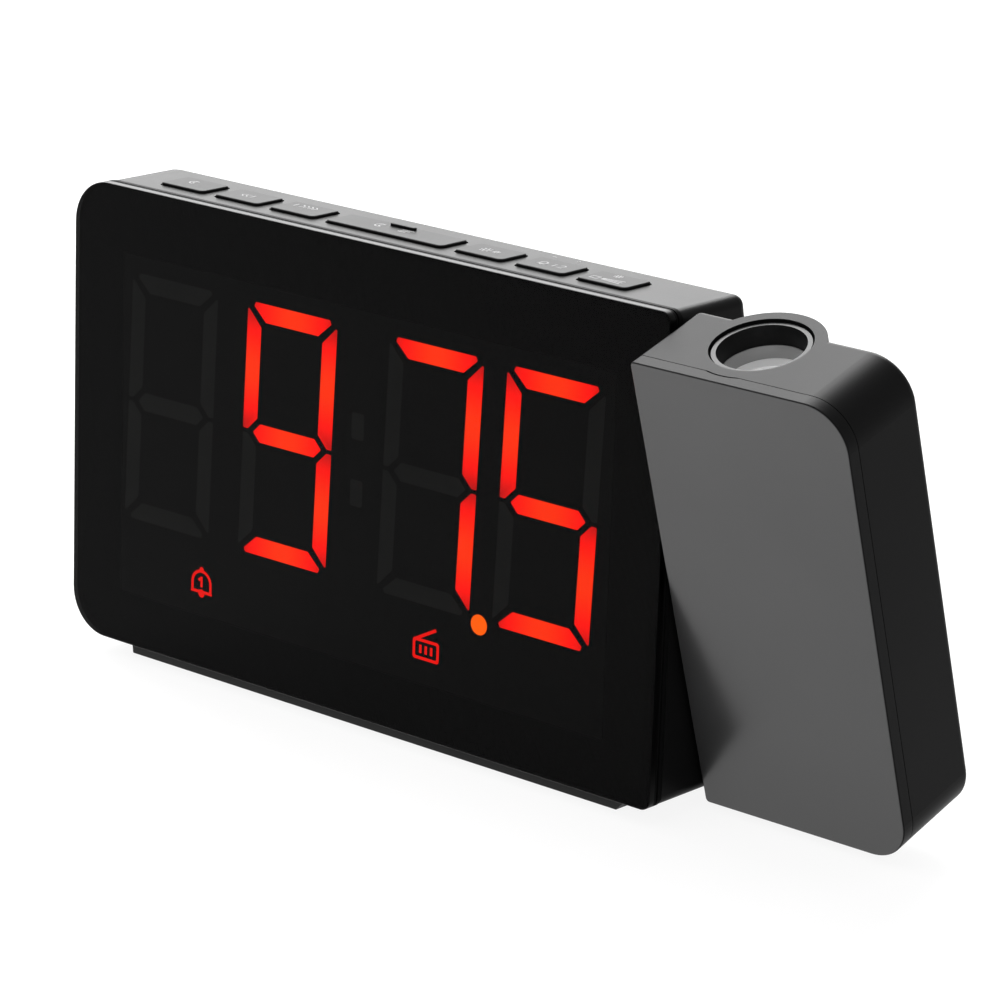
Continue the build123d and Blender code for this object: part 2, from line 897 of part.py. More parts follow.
with BuildPart() as lit_segments:
    with BuildSketch(facing_front(display_face)):
        add(figure_bars(True))
    extrude(amount=-segment_thickness)
lit_segments.part.label = "lit_segments"
export_step(lit_segments.part, "parts/lit_segments.step")

with BuildPart() as unlit_segments:
    with BuildSketch(facing_front(display_face)):
        add(figure_bars(False))
        add(colon_dots())
    extrude(amount=-segment_thickness)
unlit_segments.part.label = "unlit_segments"
export_step(unlit_segments.part, "parts/unlit_segments.step")

with BuildPart() as point_segment:
    with BuildSketch(facing_front(display_face)):
        add(decimal_point())
    extrude(amount=-segment_thickness)
point_segment.part.label = "point_segment"
export_step(point_segment.part, "parts/point_segment.step")

with BuildPart() as bell_window:
    with BuildSketch(facing_front(display_face)):
        with Locations(bell_place):
            add(bell_sign())
    extrude(amount=-segment_thickness)
bell_window.part.label = "bell_window"
export_step(bell_window.part, "parts/bell_window.step")

with BuildPart() as radio_window:
    with BuildSketch(facing_front(display_face)):
        with Locations(radio_place):
            add(radio_sign())
    extrude(amount=-segment_thickness)
radio_window.part.label = "radio_window"
export_step(radio_window.part, "parts/radio_window.step")

# ================================================================== display board and main board
with BuildPart() as display_board:
    with BuildSketch(facing_front(display_back)):
        with Locations((0, (display_low + display_high) / 2)):
            Rectangle(display_width, display_high - display_low)
    extrude(amount=-board_thickness)
display_board.part.label = "display_board"
export_step(display_board.part, "parts/display_board.step")

with BuildPart() as display_leds:
    half_step = digit_width / 2 - segment_width / 2
    end_step = digit_height / 2 - segment_width / 2
    quarter = digit_height / 4
    led_places = [(0, end_step), (0, -digit_middle_drop), (0, -end_step)]
    led_places += [(side * half_step, level * quarter) for side in (-1, 1) for level in (-1, 1)]
    with BuildSketch(facing_front(display_back)):
        for middle in digit_offsets:
            for x, y in led_places:
                with Locations((middle + x, digit_level + y)):
                    Rectangle(chip_width, chip_width)
        with Locations((point_offset, digit_level - digit_height / 2 - point_drop)):
            Rectangle(chip_width, chip_width)
    extrude(amount=chip_height)
display_leds.part.label = "display_leds"
export_step(display_leds.part, "parts/display_leds.step")

main_board_face = display_back + board_thickness + header_length

with BuildPart() as main_board:
    with BuildSketch(facing_front(main_board_face)):
        with Locations((main_board_left, main_board_bottom)):
            Rectangle(
                main_board_right - main_board_left,
                main_board_top - main_board_bottom,
                align=(Align.MIN, Align.MIN),
            )
    extrude(amount=-board_thickness)
main_board.part.label = "main_board"
export_step(main_board.part, "parts/main_board.step")

main_board_middle = (main_board_left + main_board_right) / 2

with BuildPart() as board_headers:
    with BuildSketch(facing_front(display_back + board_thickness)):
        with Locations((main_board_middle, main_board_bottom + header_height)):
            Rectangle(header_width, header_height)
        with Locations((main_board_middle, main_board_top - header_height)):
            Rectangle(header_width, header_height)
    extrude(amount=-header_length)
board_headers.part.label = "board_headers"
export_step(board_headers.part, "parts/board_headers.step")

with BuildPart() as main_chip:
    with BuildSketch(facing_front(main_board_face + board_thickness)):
        with Locations((main_board_middle, (main_board_bottom + main_board_top) / 2)):
            Rectangle(main_chip_size, main_chip_size)
    extrude(amount=-main_chip_height)
    chamfer(main_chip.faces().sort_by(Axis.Y)[-1].edges(), main_chip_bevel)
main_chip.part.label = "main_chip"
export_step(main_chip.part, "parts/main_chip.step")

# ================================================================== speaker
with BuildPart() as speaker_basket:
    with BuildSketch(on_back(housing_wall)):
        with Locations((-speaker_x, speaker_height)):
            Circle(speaker_radius)
    extrude(amount=-speaker_rim)
    with BuildSketch(on_back(housing_wall + speaker_rim)):
        with Locations((-speaker_x, speaker_height)):
            Circle(speaker_radius - speaker_rim)
    with BuildSketch(on_back(housing_wall + speaker_rim + basket_depth)):
        with Locations((-speaker_x, speaker_height)):
            Circle(basket_neck_radius)
    loft()
    with BuildSketch(on_back(housing_wall)):
        with Locations((-speaker_x, speaker_height)):
            Circle(speaker_radius - speaker_rim - basket_wall)
    with BuildSketch(on_back(housing_wall + speaker_rim + basket_depth)):
        with Locations((-speaker_x, speaker_height)):
            Circle(basket_neck_radius - basket_wall)
    loft(mode=Mode.SUBTRACT)
speaker_basket.part.label = "speaker_basket"
export_step(speaker_basket.part, "parts/speaker_basket.step")

with BuildPart() as speaker_cone:
    cone_mouth = speaker_radius - speaker_rim - basket_wall
    cone_neck = basket_neck_radius - basket_wall
    with BuildSketch(on_back(housing_wall)):
        with Locations((-speaker_x, speaker_height)):
            Circle(cone_mouth)
    with BuildSketch(on_back(housing_wall + speaker_rim + basket_depth)):
        with Locations((-speaker_x, speaker_height)):
            Circle(cone_neck)
    loft()
    with BuildSketch(on_back(housing_wall)):
        with Locations((-speaker_x, speaker_height)):
            Circle(cone_mouth - cone_wall)
    with BuildSketch(on_back(housing_wall + speaker_rim + basket_depth - cone_wall)):
        with Locations((-speaker_x, speaker_height)):
            Circle(cone_neck - cone_wall)
    loft(mode=Mode.SUBTRACT)
speaker_cone.part.label = "speaker_cone"
export_step(speaker_cone.part, "parts/speaker_cone.step")

with BuildPart() as speaker_magnet:
    with BuildSketch(on_back(housing_wall + speaker_rim + basket_depth)):
        with Locations((-speaker_x, speaker_height)):
            Circle(magnet_radius)
    extrude(amount=-magnet_depth)
    chamfer(speaker_magnet.faces().sort_by(Axis.Y)[0].edges(), magnet_bevel)
speaker_magnet.part.label = "speaker_magnet"
export_step(speaker_magnet.part, "parts/speaker_magnet.step")

# ================================================================== sockets
with BuildPart() as dc_socket:
    with BuildSketch(on_back(housing_wall + socket_reach)):
        with Locations((-dc_x, socket_height)):
            Rectangle(dc_body_width, dc_body_height)
    extrude(amount=socket_reach)
    with BuildSketch(on_back(housing_wall)):
        with Locations((-dc_x, socket_height)):
            Circle(dc_bore_radius + socket_margin)
    extrude(amount=housing_wall)
    with BuildSketch(on_back()):
        with Locations((-dc_x, socket_height)):
            Circle(dc_bore_radius)
    extrude(amount=-dc_depth, mode=Mode.SUBTRACT)
    with BuildSketch(on_back(dc_depth)):
        with Locations((-dc_x, socket_height)):
            Circle(dc_pin_radius)
    extrude(amount=dc_depth - housing_wall / 2)
dc_socket.part.label = "dc_socket"
export_step(dc_socket.part, "parts/dc_socket.step")

with BuildPart() as usb_socket:
    with BuildSketch(on_back(housing_wall + socket_reach)):
        with Locations((-usb_x, socket_height)):
            Rectangle(usb_body_width, usb_body_height)
    extrude(amount=housing_wall + socket_reach)
    with BuildSketch(on_back()):
        with Locations((-usb_x, socket_height)):
            Rectangle(usb_body_width - 2 * usb_shell, usb_body_height - 2 * usb_shell)
    extrude(amount=-(socket_reach - usb_shell), mode=Mode.SUBTRACT)
    with BuildSketch(on_back(socket_reach - usb_shell)):
        tongue_rise = usb_body_height / 2 - usb_shell - usb_tongue_thickness
        with Locations((-usb_x, socket_height + tongue_rise)):
            Rectangle(usb_tongue_width, usb_tongue_thickness)
    extrude(amount=socket_reach - usb_shell - housing_wall / 2)
usb_socket.part.label = "usb_socket"
export_step(usb_socket.part, "parts/usb_socket.step")

with BuildPart() as socket_board:
    board_left = -dc_x - dc_body_width / 2 - socket_board_margin
    board_right = -usb_x + usb_body_width / 2 + socket_board_margin
    with BuildSketch(on_back(housing_wall + socket_reach)):
        with Locations(((board_left + board_right) / 2, socket_height)):
            Rectangle(board_right - board_left, dc_body_height + 2 * socket_board_margin)
    extrude(amount=-board_thickness)
socket_board.part.label = "socket_board"
export_step(socket_board.part, "parts/socket_board.step")

with BuildPart() as aerial_bush:
    with BuildSketch(on_back(housing_wall)):
        with Locations((-aerial_x, aerial_height)):
            Circle(aerial_radius)
    extrude(amount=housing_wall)
    with BuildSketch(on_back()):
        with Locations((-aerial_x, aerial_height)):
            Circle(aerial_flange_radius)
    extrude(amount=aerial_flange_thickness)
    fillet(aerial_bush.faces().sort_by(Axis.Y)[-1].edges(), aerial_edge_radius)
    with BuildSketch(on_back(housing_wall)):
        with Locations((-aerial_x, aerial_height)):
            Circle(aerial_wire_radius)
    extrude(amount=housing_wall + aerial_flange_thickness, mode=Mode.SUBTRACT)
aerial_bush.part.label = "aerial_bush"
export_step(aerial_bush.part, "parts/aerial_bush.step")

# ================================================================== backup cell and its cover
with BuildPart() as battery_cover:
    with BuildSketch(Plane.XY.offset(housing_bottom)):
        with Locations((cell_x, cell_y)):
            Circle(cover_radius)
    extrude(amount=lug_top - housing_bottom)
    with BuildSketch(Plane.XY.offset(lug_bottom)):
        with Locations((cell_x, cell_y)):
            add(lug_ring(lug_angle, 0, lug_radius))
    extrude(amount=lug_thickness)
    with BuildSketch(Plane.XY.offset(cover_top)):
        with Locations((cell_x, cell_y)):
            Circle(cover_radius - cup_wall)
            Circle(cover_boss_radius, mode=Mode.SUBTRACT)
    extrude(amount=lug_top - cover_top, mode=Mode.SUBTRACT)
    with BuildSketch(Plane.XY.offset(housing_bottom)):
        with Locations((cell_x, cell_y)):
            SlotOverall(coin_slot_length, coin_slot_width)
    extrude(amount=coin_slot_depth, mode=Mode.SUBTRACT)
battery_cover.part.label = "battery_cover"
export_step(battery_cover.part, "parts/battery_cover.step")

with BuildPart() as backup_cell:
    with BuildSketch(Plane.XY.offset(cell_bottom)):
        with Locations((cell_x, cell_y)):
            Circle(cell_radius)
    extrude(amount=cell_thickness)
    fillet(backup_cell.edges().filter_by(GeomType.CIRCLE), cell_edge_radius)
backup_cell.part.label = "backup_cell"
export_step(backup_cell.part, "parts/backup_cell.step")

with BuildPart() as cell_contact:
    with BuildSketch(Plane.XY.offset(cell_top + contact_gap)):
        with Locations((cell_x, cell_y)):
            SlotOverall(2 * cell_radius, contact_width)
    extrude(amount=contact_thickness)
cell_contact.part.label = "cell_contact"
export_step(cell_contact.part, "parts/cell_contact.step")

# ================================================================== projector arm: its own planes
arm_left = side_x + arm_gap
lean = radians(arm_tilt)
arm_down = Vector(0, sin(lean), -cos(lean))
arm_inwards = Vector(0, cos(lean), sin(lean))
arm_corner = Vector(arm_left, pivot_y, pivot_z) - arm_down * pivot_drop - arm_inwards * pivot_depth
barrel_top = arm_corner + Vector(barrel_across, 0, 0) + arm_inwards * barrel_depth


def arm_level(depth):
    """Plane parallel to the arm's front: X across, Y down the arm, Z into it."""
    front = Plane(origin=arm_corner, x_dir=(1, 0, 0), z_dir=arm_inwards)
    return front.offset(depth)


def across_barrel(drop):
    """Plane square to the barrel, centred on it, at a distance below the arm's top; extrude by
    a minus amount to go down."""
    return Plane(origin=barrel_top + arm_down * drop, x_dir=(1, 0, 0), z_dir=arm_down * -1)


def arm_outline(inset):
    """Outline of the arm: sharp corners beside the clock and large ones on the free side."""
    with BuildSketch(Plane.XY, mode=Mode.PRIVATE) as outline:
        with Locations((arm_width / 2, arm_length / 2)):
            Rectangle(arm_width - 2 * inset, arm_length - 2 * inset)
        left_corners = outline.vertices().group_by(Axis.X)[0]
        fillet(left_corners, max(arm_left_radius - inset, least_corner_radius))
        right_corners = outline.vertices().group_by(Axis.X)[-1]
        fillet(right_corners, max(arm_right_radius - inset, least_corner_radius))
    return outline.sketch


arm_screw_places = [
    (arm_width - arm_screw_inset, arm_screw_low),
    (arm_width - arm_screw_inset, arm_length - arm_screw_low),
    (arm_screw_inset, arm_length - arm_screw_low),
]
arm_seat = arm_thickness - arm_screw_recess
arm_pillar_end = arm_seat - arm_post_floor - cover_seam

with BuildPart() as bulge:
    with BuildSketch(Plane(origin=barrel_top, x_dir=(1, 0, 0), z_dir=arm_inwards * -1)):
        with BuildLine():
            Polyline(
                (0, -bulge_length - bulge_tail),
                (0, 0),
                (bulge_radius, 0),
                (bulge_radius, -bulge_length),
            )
            EllipticalCenterArc(
                (0, -bulge_length), bulge_radius, bulge_tail, start_angle=270, arc_size=90
            )
        make_face()
    revolve(axis=Axis(barrel_top, arm_down))

# ================================================================== arm housing
with BuildPart() as arm_housing:
    with BuildSketch(arm_level(cover_depth + cover_seam)):
        add(arm_outline(0))
    extrude(amount=arm_thickness - cover_depth - cover_seam)
    back_face = arm_housing.faces().filter_by(
        lambda face: (face.normal_at() - arm_inwards).length < 0.01
    )
    fillet(back_face.edges(), arm_edge_radius)
    with BuildSketch(arm_level(cover_depth + cover_seam)):
        add(arm_outline(arm_wall))
    extrude(amount=arm_thickness - arm_wall - cover_depth - cover_seam, mode=Mode.SUBTRACT)
    add(bulge.part)
    with BuildSketch(arm_level(cover_depth + cover_seam)):
        with Locations((0, sleeve_length)):
            Rectangle(
                arm_width - arm_wall, arm_length, align=(Align.MIN, Align.MIN)
            )
        with Locations((arm_width / 2, arm_length / 2)):
            Rectangle(arm_width - 2 * arm_wall, arm_length - 2 * arm_wall, mode=Mode.INTERSECT)
    extrude(amount=arm_thickness - arm_wall - cover_depth - cover_seam, mode=Mode.SUBTRACT)
    with BuildSketch(across_barrel(0)):
        Circle(optics_radius)
    extrude(amount=-sleeve_length, mode=Mode.SUBTRACT)
    with BuildSketch(across_barrel(0)):
        Circle(barrel_radius + barrel_clearance)
    extrude(amount=-(barrel_recess + barrel_length + focus_travel), mode=Mode.SUBTRACT)
    with BuildSketch(across_barrel(0)):
        Circle(bore_radius)
    extrude(amount=-bore_mouth_depth, mode=Mode.SUBTRACT)
    for place in arm_screw_places:
        with BuildSketch(arm_level(arm_seat - arm_post_floor)):
            with Locations(place):
                Circle(arm_post_radius)
        extrude(amount=arm_post_floor + arm_screw_recess - arm_wall / 2)
        with BuildSketch(arm_level(arm_seat)):
            with Locations(place):
                Circle(arm_recess_radius)
        extrude(amount=arm_screw_recess, mode=Mode.SUBTRACT)
        with BuildSketch(arm_level(arm_seat - arm_post_floor)):
            with Locations(place):
                Circle(arm_screw_radius + through_clearance)
        extrude(amount=arm_post_floor, mode=Mode.SUBTRACT)
    with BuildSketch(beside(arm_left)):
        Circle(pivot_radius + screw_clearance)
    extrude(amount=arm_wall, mode=Mode.SUBTRACT)
arm_housing.part.label = "arm_housing"
export_step(arm_housing.part, "parts/arm_housing.step")

with BuildPart() as arm_front_cover:
    with BuildSketch(arm_level(0)):
        add(arm_outline(0))
    extrude(amount=cover_depth)
    front_face = arm_front_cover.faces().filter_by(
        lambda face: (face.normal_at() + arm_inwards).length < 0.01
    )
    fillet(front_face.edges(), cover_edge_radius)
    with BuildSketch(arm_level(cover_depth)):
        add(arm_outline(arm_wall + lip_clearance))
        add(arm_outline(arm_wall + lip_clearance + cover_lip_wall), mode=Mode.SUBTRACT)
    extrude(amount=cover_lip_length)
    with BuildSketch(across_barrel(0)):
        Circle(bulge_radius + window_clearance)
    extrude(amount=-sleeve_length, mode=Mode.SUBTRACT)
    with BuildSketch(arm_level(cover_depth)):
        with Locations(*arm_screw_places):
            Circle(arm_pillar_radius)
    extrude(amount=arm_pillar_end - cover_depth)
    with BuildSketch(arm_level(arm_pillar_end)):
        with Locations(*arm_screw_places):
            Circle(arm_screw_radius + screw_clearance)
    extrude(amount=-(arm_screw_length - arm_post_floor), mode=Mode.SUBTRACT)
arm_front_cover.part.label = "arm_front_cover"
export_step(arm_front_cover.part, "parts/arm_front_cover.step")

with BuildPart() as arm_screws:
    with BuildSketch(arm_level(arm_seat)):
        with Locations(*arm_screw_places):
            Circle(arm_screw_radius)
    extrude(amount=-arm_screw_length)
    with BuildSketch(arm_level(arm_seat)):
        with Locations(*arm_screw_places):
            Circle(arm_head_radius)
    extrude(amount=arm_head_height)
    with BuildSketch(arm_level(arm_seat + arm_head_height)):
        with Locations(*arm_screw_places):
            Rectangle(drive_length, drive_width)
            Rectangle(drive_width, drive_length)
    extrude(amount=-drive_depth, mode=Mode.SUBTRACT)
arm_screws.part.label = "arm_screws"
export_step(arm_screws.part, "parts/arm_screws.step")

# ================================================================== pivot
bush_outer_x = side_x + bush_flange_thickness
shaft_tip_x = side_x - bush_length - spring_washer_thickness - retainer_thickness - shaft_end
retainer_x = side_x - bush_length - spring_washer_thickness - retainer_thickness

with BuildPart() as pivot_bush:
    with BuildSketch(beside(side_x - bush_length)):
        Circle(bush_radius)
    extrude(amount=bush_length)
    with BuildSketch(beside(side_x)):
        Circle(bush_flange_radius)
    extrude(amount=bush_flange_thickness)
    with BuildSketch(beside(side_x - bush_length)):
        Circle(pivot_radius + pivot_clearance)
    extrude(amount=bush_length + bush_flange_thickness, mode=Mode.SUBTRACT)
pivot_bush.part.label = "pivot_bush"
export_step(pivot_bush.part, "parts/pivot_bush.step")

with BuildPart() as friction_washer:
    with BuildSketch(beside(bush_outer_x + washer_gap)):
        Circle(washer_radius)
        Circle(pivot_radius + pivot_clearance, mode=Mode.SUBTRACT)
    extrude(amount=arm_left - bush_outer_x - 2 * washer_gap)
friction_washer.part.label = "friction_washer"
export_step(friction_washer.part, "parts/friction_washer.step")

with BuildPart() as pivot_shaft:
    plate_back = arm_thickness - arm_wall - screw_clearance
    with BuildSketch(beside(shaft_tip_x)):
        Circle(pivot_radius)
    extrude(amount=arm_left + arm_wall - shaft_tip_x)
    with BuildSketch(
        Plane(origin=arm_corner + Vector(arm_wall, 0, 0), x_dir=arm_inwards, z_dir=(1, 0, 0))
    ):
        with Locations(((pivot_plate_front + plate_back) / 2, -pivot_drop)):
            Rectangle(plate_back - pivot_plate_front, pivot_plate_height)
    extrude(amount=pivot_plate_thickness)
    with BuildSketch(beside(retainer_x)):
        Circle(pivot_radius)
        Circle(pivot_radius - retainer_groove, mode=Mode.SUBTRACT)
    extrude(amount=retainer_thickness, mode=Mode.SUBTRACT)
    with BuildSketch(beside(shaft_tip_x)):
        Circle(pivot_bore)
    extrude(amount=arm_left + arm_wall + pivot_plate_thickness - shaft_tip_x, mode=Mode.SUBTRACT)
pivot_shaft.part.label = "pivot_shaft"
export_step(pivot_shaft.part, "parts/pivot_shaft.step")

with BuildPart() as spring_washer:
    with BuildSketch(beside(side_x - bush_length - spring_washer_thickness)):
        Circle(spring_washer_radius)
        Circle(pivot_radius + 2 * pivot_clearance, mode=Mode.SUBTRACT)
    extrude(amount=spring_washer_thickness)
spring_washer.part.label = "spring_washer"
export_step(spring_washer.part, "parts/spring_washer.step")

with BuildPart() as pivot_retainer:
    with BuildSketch(beside(retainer_x)):
        Circle(retainer_radius)
        Circle(pivot_radius - retainer_groove + screw_clearance, mode=Mode.SUBTRACT)
        with Locations((retainer_radius, 0)):
            Rectangle(2 * retainer_radius, 2 * pivot_bore, mode=Mode.SUBTRACT)
    extrude(amount=retainer_thickness)
pivot_retainer.part.label = "pivot_retainer"
export_step(pivot_retainer.part, "parts/pivot_retainer.step")

# ================================================================== focus ring and lens cell
with BuildPart() as focus_ring:
    with BuildSketch(across_barrel(barrel_recess)):
        Circle(barrel_radius)
        Circle(barrel_inner_radius, mode=Mode.SUBTRACT)
    extrude(amount=-barrel_length)
focus_ring.part.label = "focus_ring"
export_step(focus_ring.part, "parts/focus_ring.step")

cell_outer = barrel_inner_radius - cell_fit
cell_start = retainer_depth + retainer_length
lens_seat = front_lens_radius + lens_cell_clearance
rear_lens_radius = cell_outer - lens_cell_wall - lens_cell_clearance

with BuildPart() as lens_retainer:
    with BuildSketch(across_barrel(retainer_depth)):
        Circle(cell_outer)
    extrude(amount=-retainer_length)
    with BuildSketch(across_barrel(retainer_depth)):
        Circle(retainer_mouth)
    with BuildSketch(across_barrel(cell_start)):
        Circle(retainer_throat)
    loft(mode=Mode.SUBTRACT)
lens_retainer.part.label = "lens_retainer"
export_step(lens_retainer.part, "parts/lens_retainer.step")

with BuildPart() as lens_cell:
    with BuildSketch(across_barrel(cell_start)):
        Circle(cell_outer)
    extrude(amount=-lens_cell_length)
    with BuildSketch(across_barrel(cell_start)):
        Circle(cell_outer - lens_cell_wall)
    extrude(amount=-lens_cell_length, mode=Mode.SUBTRACT)
    with BuildSketch(across_barrel(cell_start)):
        Circle(lens_seat)
    extrude(amount=-front_lens_thickness, mode=Mode.SUBTRACT)
    with BuildSketch(across_barrel(cell_start + lens_cell_length - rear_lens_thickness)):
        Circle(cell_outer - lens_cell_wall)
        Circle(cell_outer - 2 * lens_cell_wall, mode=Mode.SUBTRACT)
    extrude(amount=lens_cell_wall)
lens_cell.part.label = "lens_cell"
export_step(lens_cell.part, "parts/lens_cell.step")

with BuildPart(across_barrel(cell_start)) as projection_lens:
    Cylinder(
        front_lens_radius,
        front_lens_thickness,
        align=(Align.CENTER, Align.CENTER, Align.MAX),
    )
    with Locations((0, 0, -front_lens_curve)):
        Sphere(front_lens_curve, mode=Mode.INTERSECT)
projection_lens.part.label = "projection_lens"
export_step(projection_lens.part, "parts/projection_lens.step")

with BuildPart(across_barrel(cell_start + lens_cell_length)) as rear_lens:
    Cylinder(
        rear_lens_radius,
        rear_lens_thickness,
        align=(Align.CENTER, Align.CENTER, Align.MIN),
    )
    with Locations((0, 0, rear_lens_curve)):
        Sphere(rear_lens_curve, mode=Mode.INTERSECT)
rear_lens.part.label = "rear_lens"
export_step(rear_lens.part, "parts/rear_lens.step")

# ================================================================== projector light and slide
fixed_radius = optics_radius - lens_cell_clearance
condenser_drop = sleeve_length - led_height - condenser_gap - condenser_thickness
slide_drop = condenser_drop - slide_gap - slide_frame_thickness

with BuildPart() as slide_frame:
    with BuildSketch(across_barrel(slide_drop)):
        Circle(fixed_radius)
        Rectangle(slide_width, slide_height, mode=Mode.SUBTRACT)
    extrude(amount=-slide_frame_thickness)
slide_frame.part.label = "slide_frame"
export_step(slide_frame.part, "parts/slide_frame.step")

with BuildPart() as projector_slide:
    with BuildSketch(across_barrel(slide_drop)):
        Rectangle(slide_width, slide_height)
    extrude(amount=-slide_thickness)
projector_slide.part.label = "projector_slide"
export_step(projector_slide.part, "parts/projector_slide.step")

with BuildPart(across_barrel(condenser_drop)) as condenser_lens:
    Cylinder(
        fixed_radius,
        condenser_thickness,
        align=(Align.CENTER, Align.CENTER, Align.MAX),
    )
    with Locations((0, 0, -condenser_curve)):
        Sphere(condenser_curve, mode=Mode.INTERSECT)
condenser_lens.part.label = "condenser_lens"
export_step(condenser_lens.part, "parts/condenser_lens.step")

with BuildPart() as projector_board:
    with BuildSketch(across_barrel(sleeve_length)):
        board_depth = arm_thickness - arm_wall - cover_depth - 2 * projector_board_margin
        board_middle = (arm_thickness - arm_wall + cover_depth) / 2 - barrel_depth
        with Locations((0, board_middle)):
            Rectangle(2 * bulge_radius, board_depth)
    extrude(amount=-board_thickness)
projector_board.part.label = "projector_board"
export_step(projector_board.part, "parts/projector_board.step")

with BuildPart() as projector_led:
    with BuildSketch(across_barrel(sleeve_length)):
        Circle(led_radius)
    extrude(amount=led_height)
    fillet(projector_led.faces().sort_by(Axis.Z)[-1].edges(), led_dome_radius)
projector_led.part.label = "projector_led"
export_step(projector_led.part, "parts/projector_led.step")
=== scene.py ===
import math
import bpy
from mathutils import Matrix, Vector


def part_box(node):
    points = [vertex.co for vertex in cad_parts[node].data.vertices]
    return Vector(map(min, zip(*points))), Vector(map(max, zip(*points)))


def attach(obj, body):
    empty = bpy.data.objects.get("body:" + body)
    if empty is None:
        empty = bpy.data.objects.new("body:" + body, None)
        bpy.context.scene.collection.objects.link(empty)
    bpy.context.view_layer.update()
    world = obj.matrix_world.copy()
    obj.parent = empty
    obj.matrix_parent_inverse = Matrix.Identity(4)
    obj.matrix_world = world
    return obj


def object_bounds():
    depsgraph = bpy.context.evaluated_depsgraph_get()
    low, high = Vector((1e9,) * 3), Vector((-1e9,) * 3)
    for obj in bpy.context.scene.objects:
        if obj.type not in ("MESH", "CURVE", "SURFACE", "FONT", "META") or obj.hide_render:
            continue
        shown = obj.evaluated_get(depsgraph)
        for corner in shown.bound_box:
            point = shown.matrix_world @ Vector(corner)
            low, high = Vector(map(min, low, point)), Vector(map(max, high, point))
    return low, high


bl_info = {
    "name": "Projection Alarm Clock Finish",
    "version": (1, 0, 0),
    "blender": (4, 5, 0),
    "location": "3D View > Sidebar > Clock",
    "description": "Gives a bedside projection alarm clock its finishes, printed marks and stage",
    "category": "Object",
}

import bmesh
import bpy
from bpy.props import FloatProperty, FloatVectorProperty, PointerProperty
from mathutils import Vector

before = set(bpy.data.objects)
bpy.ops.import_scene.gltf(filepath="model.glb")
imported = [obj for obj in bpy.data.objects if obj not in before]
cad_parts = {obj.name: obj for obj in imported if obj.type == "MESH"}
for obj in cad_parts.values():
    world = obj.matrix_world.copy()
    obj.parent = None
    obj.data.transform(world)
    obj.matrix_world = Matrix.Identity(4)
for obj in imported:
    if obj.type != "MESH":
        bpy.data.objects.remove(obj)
CAD_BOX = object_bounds()
MM = 0.001
WHITE = (1.0, 1.0, 1.0, 1.0)

KEYS = (
    "sleep_key",
    "tune_down_key",
    "tune_up_key",
    "snooze_key",
    "dimmer_key",
    "alarm_key",
    "projector_key",
)


# ------------------------------------------------------------------ node tree helpers
def add_node(tree, kind, settings=None, **inputs):
    """A node of that kind, with settings on the node and values or links on its inputs."""
    made = tree.nodes.new(kind)
    for name, value in (settings or {}).items():
        setattr(made, name, value)
    for name, value in inputs.items():
        connect(tree, made.inputs[name.replace("_", " ")], value)
    return made


def connect(tree, socket, value):
    """Links an output to the socket, or sets its value."""
    if isinstance(value, bpy.types.NodeSocket):
        tree.links.new(value, socket)
    elif value is not None:
        socket.default_value = value


def calculate(tree, operation, first, second=None, third=None, clamp=False):
    """Output of a Math node."""
    made = tree.nodes.new("ShaderNodeMath")
    made.operation = operation
    made.use_clamp = clamp
    for socket, value in zip(made.inputs, (first, second, third)):
        connect(tree, socket, value)
    return made.outputs[0]


def vector_maths(tree, operation, first, second=None):
    """Output of a Vector Math node: a number where it measures, otherwise a vector."""
    made = add_node(tree, "ShaderNodeVectorMath", {"operation": operation})
    for socket, value in zip(made.inputs, (first, second)):
        connect(tree, socket, value)
    measures = operation in ("DISTANCE", "DOT_PRODUCT", "LENGTH")
    return made.outputs["Value" if measures else "Vector"]


def blend_colours(tree, factor, first, second):
    """Output of a colour Mix node."""
    made = tree.nodes.new("ShaderNodeMix")
    made.data_type = "RGBA"
    connect(tree, made.inputs["Factor"], factor)
    connect(tree, made.inputs["A"], first)
    connect(tree, made.inputs["B"], second)
    return made.outputs["Result"]


def spread(tree, value, low, high, start=0.0, end=1.0):
    """Maps a value that runs from low to high onto start to end."""
    made = add_node(tree, "ShaderNodeMapRange", {"clamp": True}, Value=value)
    for name, number in zip(("From Min", "From Max", "To Min", "To Max"), (low, high, start, end)):
        connect(tree, made.inputs[name], number)
    return made.outputs["Result"]


def opaque(colour):
    """A colour with its alpha."""
    return (*tuple(colour)[:3], 1.0)


def shaded(colour, share):
    """A colour with its alpha, made darker or lighter by that share."""
    return opaque(channel * share for channel in tuple(colour)[:3])


def grey(level):
    """A neutral colour."""
    return (level, level, level)


def new_group(name, inputs, outputs):
    """A shader node group with named sockets: {name: default} in, {name: socket type} out."""
    tree = bpy.data.node_groups.new(name, "ShaderNodeTree")
    for label, default in inputs.items():
        kind = "NodeSocketColor" if hasattr(default, "__len__") else "NodeSocketFloat"
        socket = tree.interface.new_socket(label, in_out="INPUT", socket_type=kind)
        socket.default_value = default
    for label, kind in outputs.items():
        tree.interface.new_socket(label, in_out="OUTPUT", socket_type=kind)
    start = tree.nodes.new("NodeGroupInput")
    end = tree.nodes.new("NodeGroupOutput")
    return tree, start, end


def place_group(tree, name, **values):
    """A copy of a node group in a material, with its own values."""
    made = tree.nodes.new("ShaderNodeGroup")
    made.node_tree = bpy.data.node_groups[name]
    for label, value in values.items():
        connect(tree, made.inputs[label.replace("_", " ")], value)
    return made


def object_place(tree):
    """Object coordinates, in metres in the frame the clock is built in."""
    return tree.nodes.new("ShaderNodeTexCoord").outputs["Object"]


